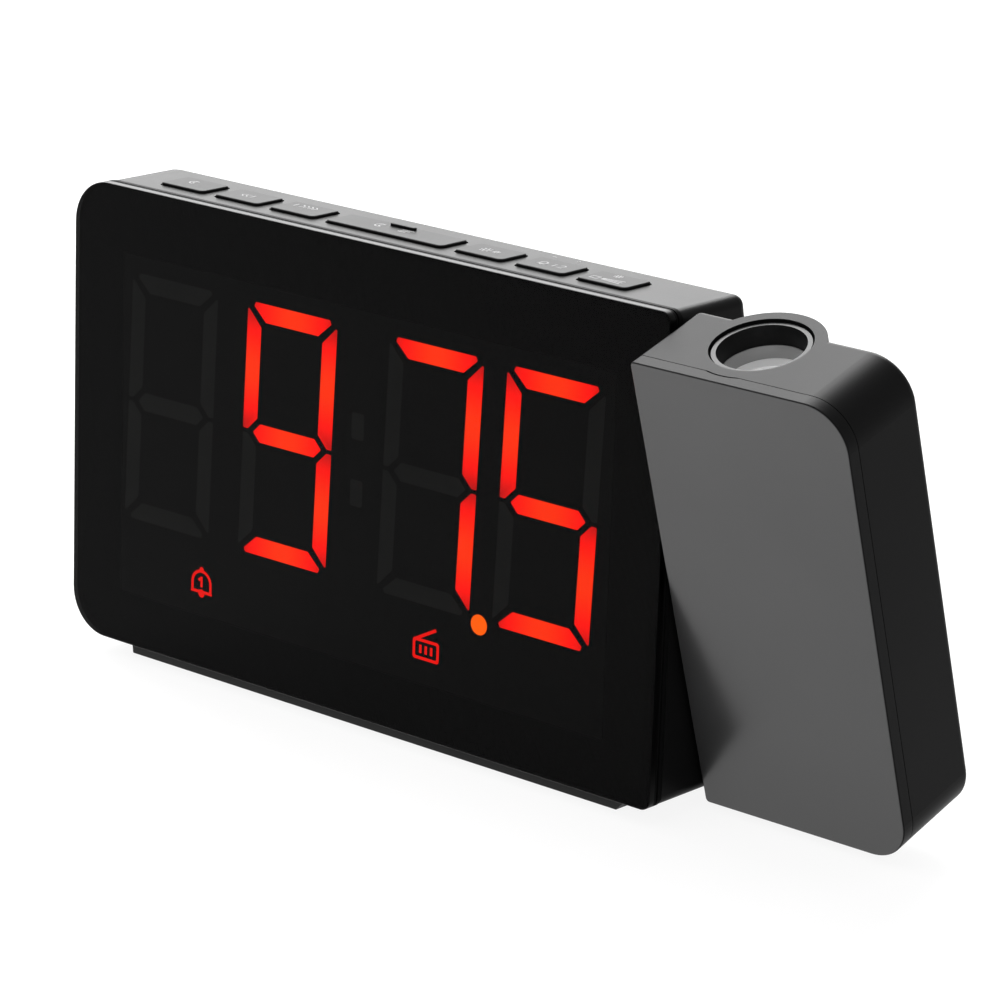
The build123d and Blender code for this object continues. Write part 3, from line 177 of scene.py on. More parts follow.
# ------------------------------------------------------------------ effects shared by materials
MOULD_GRAIN = 2600.0  # grains of a mould's texture to the metre
SPARKED = 6e-6  # relief that a spark-eroded mould leaves, in metres
POLISHED = 2e-6  # relief that a polished mould or a roller leaves
LINE_STRETCH = (0.03, 1.0, 1.0)  # draws the noise of the drawn lines out along X
DRIFT_RANGE = (0.3, 0.7)  # noise values that become the darkest and lightest tone
LINE_RANGE = (0.35, 0.65)  # the same for the drawn lines


def make_moulding_grain():
    """Fine spark-eroded texture of a mould, with slow drifts of tone."""
    inputs = {"Grain Scale": MOULD_GRAIN, "Drift Scale": 22.0}
    outputs = {"Height": "NodeSocketFloat", "Tone": "NodeSocketFloat"}
    tree, start, end = new_group("Moulding Grain", inputs, outputs)
    place = object_place(tree)
    fine = add_node(
        tree,
        "ShaderNodeTexNoise",
        Vector=place,
        Scale=start.outputs["Grain Scale"],
        Detail=3.0,
        Roughness=0.6,
    )
    drift = add_node(
        tree,
        "ShaderNodeTexNoise",
        Vector=place,
        Scale=start.outputs["Drift Scale"],
        Detail=2.0,
        Roughness=0.5,
    )
    tree.links.new(fine.outputs["Fac"], end.inputs["Height"])
    tree.links.new(spread(tree, drift.outputs["Fac"], *DRIFT_RANGE), end.inputs["Tone"])


def make_surface_haze():
    """Uneven gloss, as handling and mould wear leave it."""
    inputs = {"Roughness": 0.4, "Unevenness": 0.06, "Scale": 60.0}
    tree, start, end = new_group("Surface Haze", inputs, {"Roughness": "NodeSocketFloat"})
    cloud = add_node(
        tree,
        "ShaderNodeTexNoise",
        Vector=object_place(tree),
        Scale=start.outputs["Scale"],
        Detail=4.0,
        Roughness=0.55,
        Distortion=0.4,
    )
    centred = calculate(tree, "SUBTRACT", cloud.outputs["Fac"], 0.5)
    swing = calculate(tree, "MULTIPLY", centred, start.outputs["Unevenness"])
    total = calculate(tree, "ADD", swing, start.outputs["Roughness"], clamp=True)
    tree.links.new(total, end.inputs["Roughness"])


def make_drawn_lines():
    """Fine parallel lines of rolled or brushed metal, along X."""
    inputs = {"Line Scale": 1800.0}
    outputs = {"Height": "NodeSocketFloat", "Tone": "NodeSocketFloat"}
    tree, start, end = new_group("Drawn Lines", inputs, outputs)
    squeeze = add_node(tree, "ShaderNodeMapping", Vector=object_place(tree))
    squeeze.inputs["Scale"].default_value = LINE_STRETCH
    lines = add_node(
        tree,
        "ShaderNodeTexNoise",
        Vector=squeeze.outputs["Vector"],
        Scale=start.outputs["Line Scale"],
        Detail=3.0,
    )
    tree.links.new(lines.outputs["Fac"], end.inputs["Height"])
    tree.links.new(spread(tree, lines.outputs["Fac"], *LINE_RANGE), end.inputs["Tone"])


# ------------------------------------------------------------------ materials
# Where a lit bar's colour runs from heart to rim and from rim to end, in shares of its half length.
HEART_TO_RIM = (0.15, 0.62)
RIM_TO_END = (0.66, 1.02)
TRACES = 330.0  # cells of the board's traces to the metre
TRACE_EDGE = (0.04, 0.07)  # from copper to solder mask, in shares of a cell
TRACE_LIFT = 1.9  # how much lighter the mask looks over copper
PADS = 420.0  # cells of the board's pads to the metre
PAD_EDGE = (0.16, 0.20)  # from pad to mask, in shares of a cell
TRACE_RELIEF = 1.5e-5  # metres
CONE_WAVE = 3200.0  # radians of the cone's pressed rings to the metre
CONE_RELIEF = 8e-5  # metres
CONE_RING_SHARE = 0.6  # height of the pressed rings over that of the fibres


def start_material(name):
    """A material with a Principled shader, its tree and its shader."""
    made = bpy.data.materials.new(name)
    made.use_nodes = True
    shader = made.node_tree.nodes["Principled BSDF"]
    return made, made.node_tree, shader


def set_bump(tree, shader, height, depth):
    """Relief of that depth in metres on the shader's normal."""
    bump = add_node(tree, "ShaderNodeBump", Height=height, Strength=1.0, Distance=depth)
    tree.links.new(bump.outputs["Normal"], shader.inputs["Normal"])


def moulded(
    name, colour, roughness, gloss=0.5, grain=MOULD_GRAIN, depth=SPARKED, drift=0.12, haze=0.06
):
    """Moulded plastic or rubber: fine grain, a slow drift of tone and an uneven gloss."""
    made, tree, shader = start_material(name)
    texture = place_group(tree, "Moulding Grain", Grain_Scale=grain)
    dark, light = shaded(colour, 1 - drift), shaded(colour, 1 + drift)
    tone = blend_colours(tree, texture.outputs["Tone"], dark, light)
    tree.links.new(tone, shader.inputs["Base Color"])
    gloss_cloud = place_group(tree, "Surface Haze", Roughness=roughness, Unevenness=haze)
    tree.links.new(gloss_cloud.outputs["Roughness"], shader.inputs["Roughness"])
    shader.inputs["Specular IOR Level"].default_value = gloss
    set_bump(tree, shader, texture.outputs["Height"], depth)
    return made


def satin_black(name, look, extra_roughness=0.0):
    """The casing's satin black, made once for each group of mouldings."""
    roughness = look.casing_roughness + extra_roughness
    return moulded(name, look.casing_colour, roughness, look.casing_gloss)


def metal(name, colour, roughness):
    """Plated or rolled metal with fine drawn lines."""
    made, tree, shader = start_material(name)
    lines = place_group(tree, "Drawn Lines")
    tone = blend_colours(tree, lines.outputs["Tone"], shaded(colour, 0.82), opaque(colour))
    tree.links.new(tone, shader.inputs["Base Color"])
    cloud = place_group(tree, "Surface Haze", Roughness=roughness, Unevenness=0.12, Scale=240.0)
    tree.links.new(cloud.outputs["Roughness"], shader.inputs["Roughness"])
    shader.inputs["Metallic"].default_value = 1.0
    set_bump(tree, shader, lines.outputs["Height"], POLISHED)
    return made


def clear_plastic(name, tint, ior, roughness, gloss=0.5, clarity=1.0):
    """See-through moulding, with faint handling haze."""
    made, tree, shader = start_material(name)
    drift = place_group(tree, "Moulding Grain", Grain_Scale=400.0, Drift_Scale=30.0)
    tone = blend_colours(tree, drift.outputs["Tone"], shaded(tint, 0.97), opaque(tint))
    tree.links.new(tone, shader.inputs["Base Color"])
    cloud = place_group(tree, "Surface Haze", Roughness=roughness, Unevenness=0.015, Scale=45.0)
    tree.links.new(cloud.outputs["Roughness"], shader.inputs["Roughness"])
    shader.inputs["Transmission Weight"].default_value = clarity
    shader.inputs["IOR"].default_value = ior
    shader.inputs["Specular IOR Level"].default_value = gloss
    return made


def islands(node):
    """Lowest and highest corner of each separate solid of a CAD node."""
    shape = bmesh.new()
    shape.from_mesh(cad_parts[node].data)
    bmesh.ops.remove_doubles(shape, verts=shape.verts, dist=0.001 * MM)
    seen, boxes = set(), []
    for first in shape.verts:
        if first in seen:
            continue
        group, queue = [], [first]
        seen.add(first)
        while queue:
            vert = queue.pop()
            group.append(vert.co.copy())
            for edge in vert.link_edges:
                other = edge.other_vert(vert)
                if other not in seen:
                    seen.add(other)
                    queue.append(other)
        low = Vector(min(point[axis] for point in group) for axis in range(3))
        high = Vector(max(point[axis] for point in group) for axis in range(3))
        boxes.append((low, high))
    shape.free()
    return boxes


def glowing(name, heart, rim, edge, strength, centres, reach):
    """Lit diffuser: bright at the heart of each solid, where its lamp sits, redder outwards."""
    made, tree, shader = start_material(name)
    place = object_place(tree)
    nearest = None
    for centre in centres:
        span = vector_maths(tree, "DISTANCE", place, centre)
        nearest = span if nearest is None else calculate(tree, "MINIMUM", nearest, span)
    near = spread(tree, nearest, *(share * reach for share in HEART_TO_RIM))
    far = spread(tree, nearest, *(share * reach for share in RIM_TO_END))
    colour = blend_colours(tree, near, opaque(heart), opaque(rim))
    colour = blend_colours(tree, far, colour, opaque(edge))
    tree.links.new(colour, shader.inputs["Emission Color"])
    shader.inputs["Emission Strength"].default_value = strength
    grain = place_group(tree, "Moulding Grain", Grain_Scale=1500.0)
    body = blend_colours(tree, grain.outputs["Tone"], shaded(rim, 0.10), shaded(rim, 0.14))
    tree.links.new(body, shader.inputs["Base Color"])
    shader.inputs["Roughness"].default_value = 0.5
    return made


def circuit_board(name, mask, copper):
    """Solder mask over copper traces, with tinned pads."""
    made, tree, shader = start_material(name)
    place = object_place(tree)
    traces = add_node(
        tree,
        "ShaderNodeTexVoronoi",
        {"feature": "DISTANCE_TO_EDGE", "distance": "MANHATTAN"},
        Vector=place,
        Scale=TRACES,
    )
    line = spread(tree, traces.outputs["Distance"], *TRACE_EDGE)
    colour = blend_colours(tree, line, shaded(mask, TRACE_LIFT), opaque(mask))
    pads = add_node(tree, "ShaderNodeTexVoronoi", Vector=place, Scale=PADS, Randomness=0.6)
    pad = spread(tree, pads.outputs["Distance"], *PAD_EDGE, 1.0, 0.0)
    colour = blend_colours(tree, pad, colour, opaque(copper))
    tree.links.new(colour, shader.inputs["Base Color"])
    tree.links.new(pad, shader.inputs["Metallic"])
    cloud = place_group(tree, "Surface Haze", Roughness=0.34, Unevenness=0.05, Scale=180.0)
    tree.links.new(cloud.outputs["Roughness"], shader.inputs["Roughness"])
    set_bump(tree, shader, calculate(tree, "SUBTRACT", pad, line), TRACE_RELIEF)
    return made


def pressed_paper(name, colour, centre, axis):
    """Speaker cone paper, with pressed rings about its middle and a fibre grain."""
    made, tree, shader = start_material(name)
    from_centre = vector_maths(tree, "SUBTRACT", object_place(tree), centre)
    across = vector_maths(tree, "CROSS_PRODUCT", from_centre, axis)
    radius = vector_maths(tree, "LENGTH", across)
    wave = calculate(tree, "SINE", calculate(tree, "MULTIPLY", radius, CONE_WAVE))
    fibre = place_group(tree, "Moulding Grain", Grain_Scale=900.0)
    tone = blend_colours(tree, fibre.outputs["Tone"], shaded(colour, 0.8), shaded(colour, 1.3))
    tree.links.new(tone, shader.inputs["Base Color"])
    shader.inputs["Roughness"].default_value = 0.85
    rings = calculate(tree, "MULTIPLY", wave, CONE_RING_SHARE)
    relief = calculate(tree, "ADD", rings, fibre.outputs["Height"])
    set_bump(tree, shader, relief, CONE_RELIEF)
    return made


def broad_face(node):
    """The largest face of a CAD node that looks forward, to -Y, or close to it."""
    faces = [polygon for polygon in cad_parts[node].data.polygons if polygon.normal.y < -0.9]
    return max(faces, key=lambda polygon: polygon.area)


def dress(material, *nodes):
    """Puts a material on CAD nodes."""
    for node in nodes:
        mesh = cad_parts[node].data
        if not mesh.materials:
            mesh.materials.append(material)
        for index in range(len(mesh.materials)):
            mesh.materials[index] = material


# ------------------------------------------------------------------ printed marks
def ribbon(shape, points, width, closed=False):
    """A flat stroke of one width along a line of points, in millimetres on the key's top."""
    spots = [Vector(point) for point in points]
    count = len(spots)
    rails = []
    for index, spot in enumerate(spots):
        before = spots[index - 1] if index or closed else spot
        after = spots[(index + 1) % count] if index < count - 1 or closed else spot
        run = (after - before).normalized()
        side = Vector((-run.y, run.x)) * width / 2
        rails.append((shape.verts.new((*(spot + side), 0)), shape.verts.new((*(spot - side), 0))))
    for index in range(count if closed else count - 1):
        left, right = rails[index]
        next_left, next_right = rails[(index + 1) % count]
        shape.faces.new((left, right, next_right, next_left))


def arc_points(centre, radius, start, sweep, count):
    """Points along an arc, with angles in degrees."""
    turns = [math.radians(start + sweep * step / count) for step in range(count + 1)]
    return [
        (centre[0] + radius * math.cos(turn), centre[1] + radius * math.sin(turn))
        for turn in turns
    ]


def shifted(strokes, across, back):
    """The same strokes, moved to the right and to the back."""
    return [[(x + across, y + back) for x, y in points] for points in strokes]


def moon(radius):
    """Outline of a crescent."""
    horn = math.radians(50)
    inner_centre = 0.7 * radius
    reach = Vector((radius * math.cos(horn) - inner_centre, radius * math.sin(horn)))
    turn = math.degrees(math.atan2(reach.y, reach.x))
    outer = arc_points((0.0, 0.0), radius, 50, 260, 18)
    inner = arc_points((inner_centre, 0.0), reach.length, -turn, 2 * turn - 360, 12)
    return [outer + inner[1:]]


def chevrons(count, way, size):
    """A row of chevrons that point to the right, or to the left when way is -1."""
    pitch = 1.3 * size
    tips = [way * pitch * (step - (count - 1) / 2) for step in range(count)]
    return [
        [(tip - way * size / 2, size), (tip + way * size / 2, 0.0), (tip - way * size / 2, -size)]
        for tip in tips
    ]


def sun(radius):
    """A ring with eight rays."""
    rays = []
    for step in range(8):
        turn = math.radians(45 * step)
        aim = Vector((math.cos(turn), math.sin(turn)))
        rays.append([tuple(aim * radius * 1.6), tuple(aim * radius * 2.3)])
    return [arc_points((0.0, 0.0), radius, 0, 360, 16), *rays]


def bell():
    """A bell on its brim, with the clapper below."""
    dome = arc_points((0.0, 0.1), 0.7, 0, 180, 12)
    sides = [(1.05, -0.7), (0.7, -0.4), *dome, (-0.7, -0.4), (-1.05, -0.7), (1.05, -0.7)]
    return [sides, [(-0.25, -1.05), (0.25, -1.05)]]


def figure_one():
    """A plain 1."""
    return [[(-0.4, 0.45), (0.0, 0.85), (0.0, -0.85)]]


def figure_two():
    """A plain 2."""
    return [[*arc_points((0.0, 0.35), 0.5, 170, -215, 12), (-0.5, -0.85), (0.55, -0.85)]]


def beam():
    """A lamp box that throws three rays."""
    box = [(-3.6, 0.7), (-2.0, 0.7), (-2.0, -0.7), (-3.6, -0.7), (-3.6, 0.7)]
    return [box] + [[(-1.3, 0.3 * side), (3.2, 0.9 * side)] for side in (-1, 0, 1)]


def text_lines():
    """Three lines, each a little shorter than the one behind it."""
    return [
        [(-1.4, level), (1.4 - 0.5 * step, level)] for step, level in enumerate((0.7, 0, -0.7))
    ]


def plus_and_minus():
    """The signs behind the alarm key."""
    plus = [[(-0.45, 0.0), (0.45, 0.0)], [(0.0, -0.45), (0.0, 0.45)]]
    return [[(-5.4, 0.0), (-4.5, 0.0)]] + shifted(plus, 0.4, 0.2)


def key_marks():
    """Strokes of each key's mark, about the middle of the key: lists of points in millimetres."""
    figures = shifted(figure_one(), 0.6, 0.1) + shifted(figure_two(), 2.2, 0.1)
    return {
        "sleep_key": shifted(moon(0.9), -0.9, 0.7),
        "tune_down_key": shifted(chevrons(2, -1, 0.8), -0.9, 0.1) + [[(0.9, 0.9), (0.9, -0.7)]],
        "tune_up_key": [[(-3.2, 2.0), (-3.2, 0.4)]] + shifted(chevrons(4, 1, 0.8), 0.1, 1.2),
        "snooze_key": shifted(moon(1.0), -4.2, 0.4) + shifted(text_lines(), 2.3, 0.1),
        "dimmer_key": shifted(sun(0.55), -1.2, 0.1) + shifted(sun(0.35), 1.2, 0.1),
        "alarm_key": shifted(bell(), -1.9, 0.1) + figures,
        "projector_key": shifted(beam(), -0.3, -1.3) + shifted(sun(0.4), -0.5, 1.9),
    }


# ------------------------------------------------------------------ settings
class ClockFinishSettings(bpy.types.PropertyGroup):
    """Colours and gloss of the clock's materials."""

    casing_colour: FloatVectorProperty(
        name="Casing Colour",
        description="Colour of the satin black mouldings",
        default=(0.0045, 0.0045, 0.0046),
        subtype="COLOR",
        min=0.0,
        max=1.0,
    )
    casing_roughness: FloatProperty(
        name="Casing Roughness",
        description="How matt the satin black mouldings are",
        default=0.36,
        min=0.0,
        max=1.0,
        subtype="FACTOR",
    )
    casing_gloss: FloatProperty(
        name="Casing Gloss",
        description="Strength of the satin black mouldings' mirror reflection",
        default=0.03,
        min=0.0,
        max=1.0,
        subtype="FACTOR",
    )
    # Painted light: the arm face's colour is lighter than the casing, so that the cover's front
    # face shows paler than its rim.
    arm_face_painted_colour: FloatVectorProperty(
        name="Arm Face Painted Colour",
        description="Colour of the projector arm's front cover",
        default=(0.026, 0.026, 0.0263),
        subtype="COLOR",
        min=0.0,
        max=1.0,
    )
    arm_face_roughness: FloatProperty(
        name="Arm Face Roughness",
        description="How matt the lacquer on the arm's front cover is",
        default=0.24,
        min=0.0,
        max=1.0,
        subtype="FACTOR",
    )
    lens_tint: FloatVectorProperty(
        name="Lens Tint",
        description="Share of each colour that the smoked front lens lets through",
        default=(0.13, 0.128, 0.124),
        subtype="COLOR",
        min=0.0,
        max=1.0,
    )
    lens_index: FloatProperty(
        name="Lens Index",
        description="Refractive index of the front lens, low because of its matt coating",
        default=1.125,
        min=1.0,
        max=2.0,
    )
    # Painted light: the projection lens glows on its own, standing in for the light that the
    # projector's lamp leaves on it.
    painted_lens_glow: FloatProperty(
        name="Painted Lens Glow",
        description="Light that the projector's lamp leaves on its front lens",
        default=0.16,
        min=0.0,
        soft_max=2.0,
    )
    rubber_colour: FloatVectorProperty(
        name="Rubber Colour",
        description="Colour of the feet",
        default=(0.010, 0.010, 0.0098),
        subtype="COLOR",
        min=0.0,
        max=1.0,
    )


class ClockDisplaySettings(bpy.types.PropertyGroup):
    """Light and colours of the display."""

    heart_colour: FloatVectorProperty(
        name="Bar Heart",
        description="Colour of a lit bar in front of its lamp",
        default=(1.0, 0.032, 0.003),
        subtype="COLOR",
        min=0.0,
        max=1.0,
    )
    rim_colour: FloatVectorProperty(
        name="Bar Rim",
        description="Colour of a lit bar away from its lamp",
        default=(1.0, 0.006, 0.003),
        subtype="COLOR",
        min=0.0,
        max=1.0,
    )
    end_colour: FloatVectorProperty(
        name="Bar End",
        description="Colour of a lit bar at its tips",
        default=(0.36, 0.004, 0.005),
        subtype="COLOR",
        min=0.0,
        max=1.0,
    )
    point_colour: FloatVectorProperty(
        name="Point Colour",
        description="Colour of the decimal point",
        default=(1.0, 0.118, 0.001),
        subtype="COLOR",
        min=0.0,
        max=1.0,
    )
    glow: FloatProperty(
        name="Glow",
        description="Brightness of the lit bars behind the smoked lens",
        default=7.8,
        min=0.0,
        soft_max=10.0,
    )
    ghost_colour: FloatVectorProperty(
        name="Unlit Bar Colour",
        description="Colour of the bars that aren't lit",
        default=(0.25, 0.265, 0.265),
        subtype="COLOR",
        min=0.0,
        max=1.0,
    )


class ClockMarkSettings(bpy.types.PropertyGroup):
    """Printed marks on the keys."""

    colour: FloatVectorProperty(
        name="Ink Colour",
        description="Colour of the printed marks",
        default=(0.20, 0.20, 0.20),
        subtype="COLOR",
        min=0.0,
        max=1.0,
    )
    stroke: FloatProperty(
        name="Stroke Width",
        description="Width of the printed strokes",
        default=0.3 * MM,
        min=0.05 * MM,
        max=1.0 * MM,
        subtype="DISTANCE",
    )
    thickness: FloatProperty(
        name="Ink Thickness",
        description="Height of the ink above the key",
        default=0.015 * MM,
        min=0.005 * MM,
        max=0.1 * MM,
        subtype="DISTANCE",
    )
    sign_setback: FloatProperty(
        name="Sign Setback",
        description="How far behind the keys the plus and minus signs stand",
        default=2.2 * MM,
        min=0.0,
        max=5.0 * MM,
        subtype="DISTANCE",
    )


class ClockStageSettings(bpy.types.PropertyGroup):
    """Camera, floor and lamps."""

    camera_place: FloatVectorProperty(
        name="Camera Place",
        description="Where the camera stands",
        default=(0.50728, -0.56386, 0.26487),
        subtype="XYZ",
        unit="LENGTH",
    )
    camera_turn: FloatVectorProperty(
        name="Camera Turn",
        description="The camera's rotation about X, Y and Z",
        default=(math.radians(73.7177), math.radians(-1.9068), math.radians(40.7992)),
        subtype="EULER",
        unit="ROTATION",
    )
    focal_length: FloatProperty(
        name="Focal Length",
        description="Focal length of the camera, in millimetres on a 36 mm sensor",
        default=156.267,
        min=10.0,
        max=500.0,
    )
    floor_colour: FloatVectorProperty(
        name="Floor Colour",
        description="Colour of the floor",
        default=(0.86, 0.86, 0.86),
        subtype="COLOR",
        min=0.0,
        max=1.0,
    )
    floor_width: FloatProperty(
        name="Floor Width",
        description="Side of the square floor",
        default=12.0,
        min=1.0,
        subtype="DISTANCE",
    )
    ambient: FloatProperty(
        name="Room Light",
        description="Strength of the light that comes from all round",
        default=0.75,
        min=0.0,
    )
    back_power: FloatProperty(
        name="Back Softbox",
        description="Power of the large softbox behind and above the clock",
        default=15.5,
        min=0.0,
        subtype="POWER",
        unit="POWER",
    )
    high_power: FloatProperty(
        name="High Softbox",
        description="Power of the smaller softbox high above the clock's back",
        default=19.0,
        min=0.0,
        subtype="POWER",
        unit="POWER",
    )
    front_power: FloatProperty(
        name="Front Softbox",
        description="Power of the softbox in front of the clock",
        default=1.6,
        min=0.0,
        subtype="POWER",
        unit="POWER",
    )


# ------------------------------------------------------------------ operators
class ClockOperator:
    """What the clock's operators share."""

    bl_options = {"REGISTER", "UNDO"}


class CLOCK_OT_effects(ClockOperator, bpy.types.Operator):
    """Make the node groups that several materials share"""

    bl_idname = "clock.effects"
    bl_label = "Shared Effects"

    def execute(self, context):
        make_moulding_grain()
        make_surface_haze()
        make_drawn_lines()
        return {"FINISHED"}


class CLOCK_OT_casing(ClockOperator, bpy.types.Operator):
    """Finish the rear housing, the battery cover and the rubber feet"""

    bl_idname = "clock.casing"
    bl_label = "Casing and Feet"

    def execute(self, context):
        look = context.scene.clock_finish
        dress(satin_black("Satin Black Casing", look), "rear_housing", "battery_cover")
        rubber = moulded(
            "Foot Rubber",
            look.rubber_colour,
            roughness=0.62,
            gloss=0.3,
            grain=1600.0,
            depth=1.6e-5,
            haze=0.1,
        )
        dress(rubber, "front_foot", "rear_foot", "aerial_bush")
        return {"FINISHED"}


class CLOCK_OT_front(ClockOperator, bpy.types.Operator):
    """Finish the smoked front lens and the gloss frame behind it"""

    bl_idname = "clock.front"
    bl_label = "Front Lens and Frame"

    EDGE_TURN = (0.60, 0.90)  # cosines to the broad face between which the edge turns into it
    EDGE_COLOUR = grey(0.0004)
    EDGE_DULLNESS = 0.31  # how much rougher the edge is than the faces

    def execute(self, context):
        look = context.scene.clock_finish
        lens = clear_plastic(
            "Smoked Acrylic", look.lens_tint, look.lens_index, roughness=0.012, gloss=0.05
        )
        self.dull_edge(lens)
        dress(lens, "front_lens")
        frame_black = moulded(
            "Black Frame",
            (0.004, 0.004, 0.0041),
            roughness=0.42,
            gloss=0.008,
            depth=1e-7,
            haze=0.03,
        )
        dress(frame_black, "front_frame")
        return {"FINISHED"}

    def dull_edge(self, lens):
        """Makes the sawn edge of the lens matt and dark."""
        tree = lens.node_tree
        shader = tree.nodes["Principled BSDF"]
        normal = tree.nodes.new("ShaderNodeTexCoord").outputs["Normal"]
        turn = vector_maths(tree, "DOT_PRODUCT", normal, broad_face("front_lens").normal)
        facing = calculate(tree, "ABSOLUTE", turn)
        edge = spread(tree, facing, *self.EDGE_TURN, 1.0, 0.0)
        clear = shader.inputs["Base Color"].links[0].from_socket
        tone = blend_colours(tree, edge, clear, opaque(self.EDGE_COLOUR))
        tree.links.new(tone, shader.inputs["Base Color"])
        polish = shader.inputs["Roughness"].links[0].from_socket
        dull = calculate(tree, "MULTIPLY_ADD", edge, self.EDGE_DULLNESS, polish)
        tree.links.new(dull, shader.inputs["Roughness"])


class CLOCK_OT_display(ClockOperator, bpy.types.Operator):
    """Finish the display's lit and unlit bars, its signs and its light box"""

    bl_idname = "clock.display"
    bl_label = "Display"

    SIGN_GLOW = 0.8  # share of the bars' glow that the signs have
    SIGN_REACH = 4.0 * MM  # from a sign's middle to its rim

    def execute(self, context):
        look = context.scene.clock_display
        boxes = islands("lit_segments")
        reach = max((high - low).length for low, high in boxes) / 2
        centres = [(low + high) / 2 for low, high in boxes]
        bars = glowing(
            "Lit Bars",
            look.heart_colour,
            look.rim_colour,
            look.end_colour,
            look.glow,
            centres,
            reach,
        )
        dress(bars, "lit_segments")
        low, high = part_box("point_segment")
        point = glowing(
            "Lit Point",
            look.point_colour,
            look.point_colour,
            look.heart_colour,
            look.glow,
            centres=[(low + high) / 2],
            reach=(high - low).length / 2,
        )
        dress(point, "point_segment")
        signs = glowing(
            "Lit Signs",
            look.rim_colour,
            look.rim_colour,
            look.rim_colour,
            look.glow * self.SIGN_GLOW,
            centres=[sum(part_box(name), Vector()) / 2 for name in ("bell_window", "radio_window")],
            reach=self.SIGN_REACH,
        )
        dress(signs, "bell_window", "radio_window")
        ghosts = moulded("Unlit Bars", look.ghost_colour, roughness=0.5, gloss=0.3, grain=1500.0)
        dress(ghosts, "unlit_segments")
        box = moulded(
            "Matt Black Light Box", (0.004, 0.004, 0.0038), roughness=0.7, gloss=0.1, depth=3e-6
        )
        dress(box, "display_body")
        return {"FINISHED"}


class CLOCK_OT_keys(ClockOperator, bpy.types.Operator):
    """Finish the seven top keys and print their marks"""

    bl_idname = "clock.keys"
    bl_label = "Keys and Marks"

    def execute(self, context):
        look = context.scene.clock_finish
        ink = context.scene.clock_marks
        dress(satin_black("Satin Black Keys", look, extra_roughness=0.03), *KEYS)
        print_ink = moulded(
            "Mark Ink",
            ink.colour,
            roughness=0.45,
            gloss=look.casing_gloss,
            grain=5000.0,
            depth=POLISHED,
        )
        key_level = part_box("sleep_key")[1].z
        marks = key_marks()
        for key in KEYS:
            low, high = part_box(key)
            place = ((low.x + high.x) / 2, (low.y + high.y) / 2, key_level)
            piece = self.print_mark(context, key + "_mark", marks[key], place, print_ink)
            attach(piece, key)
        low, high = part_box("alarm_key")
        place = ((low.x + high.x) / 2, high.y + ink.sign_setback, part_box("rear_housing")[1].z)
        piece = self.print_mark(context, "housing_marks", plus_and_minus(), place, print_ink)
        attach(piece, "clock_body")
        return {"FINISHED"}

    def print_mark(self, context, name, strokes, place, material):
        """A piece of ink that stands on the place, made of the strokes."""
        ink = context.scene.clock_marks
        shape = bmesh.new()
        for points in strokes:
            closed = points[0] == points[-1]
            ribbon(shape, points[:-1] if closed else points, ink.stroke / MM, closed)
        bmesh.ops.scale(shape, vec=(MM, MM, MM), verts=shape.verts)
        raised = bmesh.ops.extrude_face_region(shape, geom=shape.faces[:])
        tops = [item for item in raised["geom"] if isinstance(item, bmesh.types.BMVert)]
        bmesh.ops.translate(shape, vec=(0, 0, ink.thickness), verts=tops)
        bmesh.ops.recalc_face_normals(shape, faces=shape.faces)
        mesh = bpy.data.meshes.new(name)
        shape.to_mesh(mesh)
        shape.free()
        mesh.materials.append(material)
        piece = bpy.data.objects.new(name, mesh)
        context.scene.collection.objects.link(piece)
        piece.location = place
        return piece


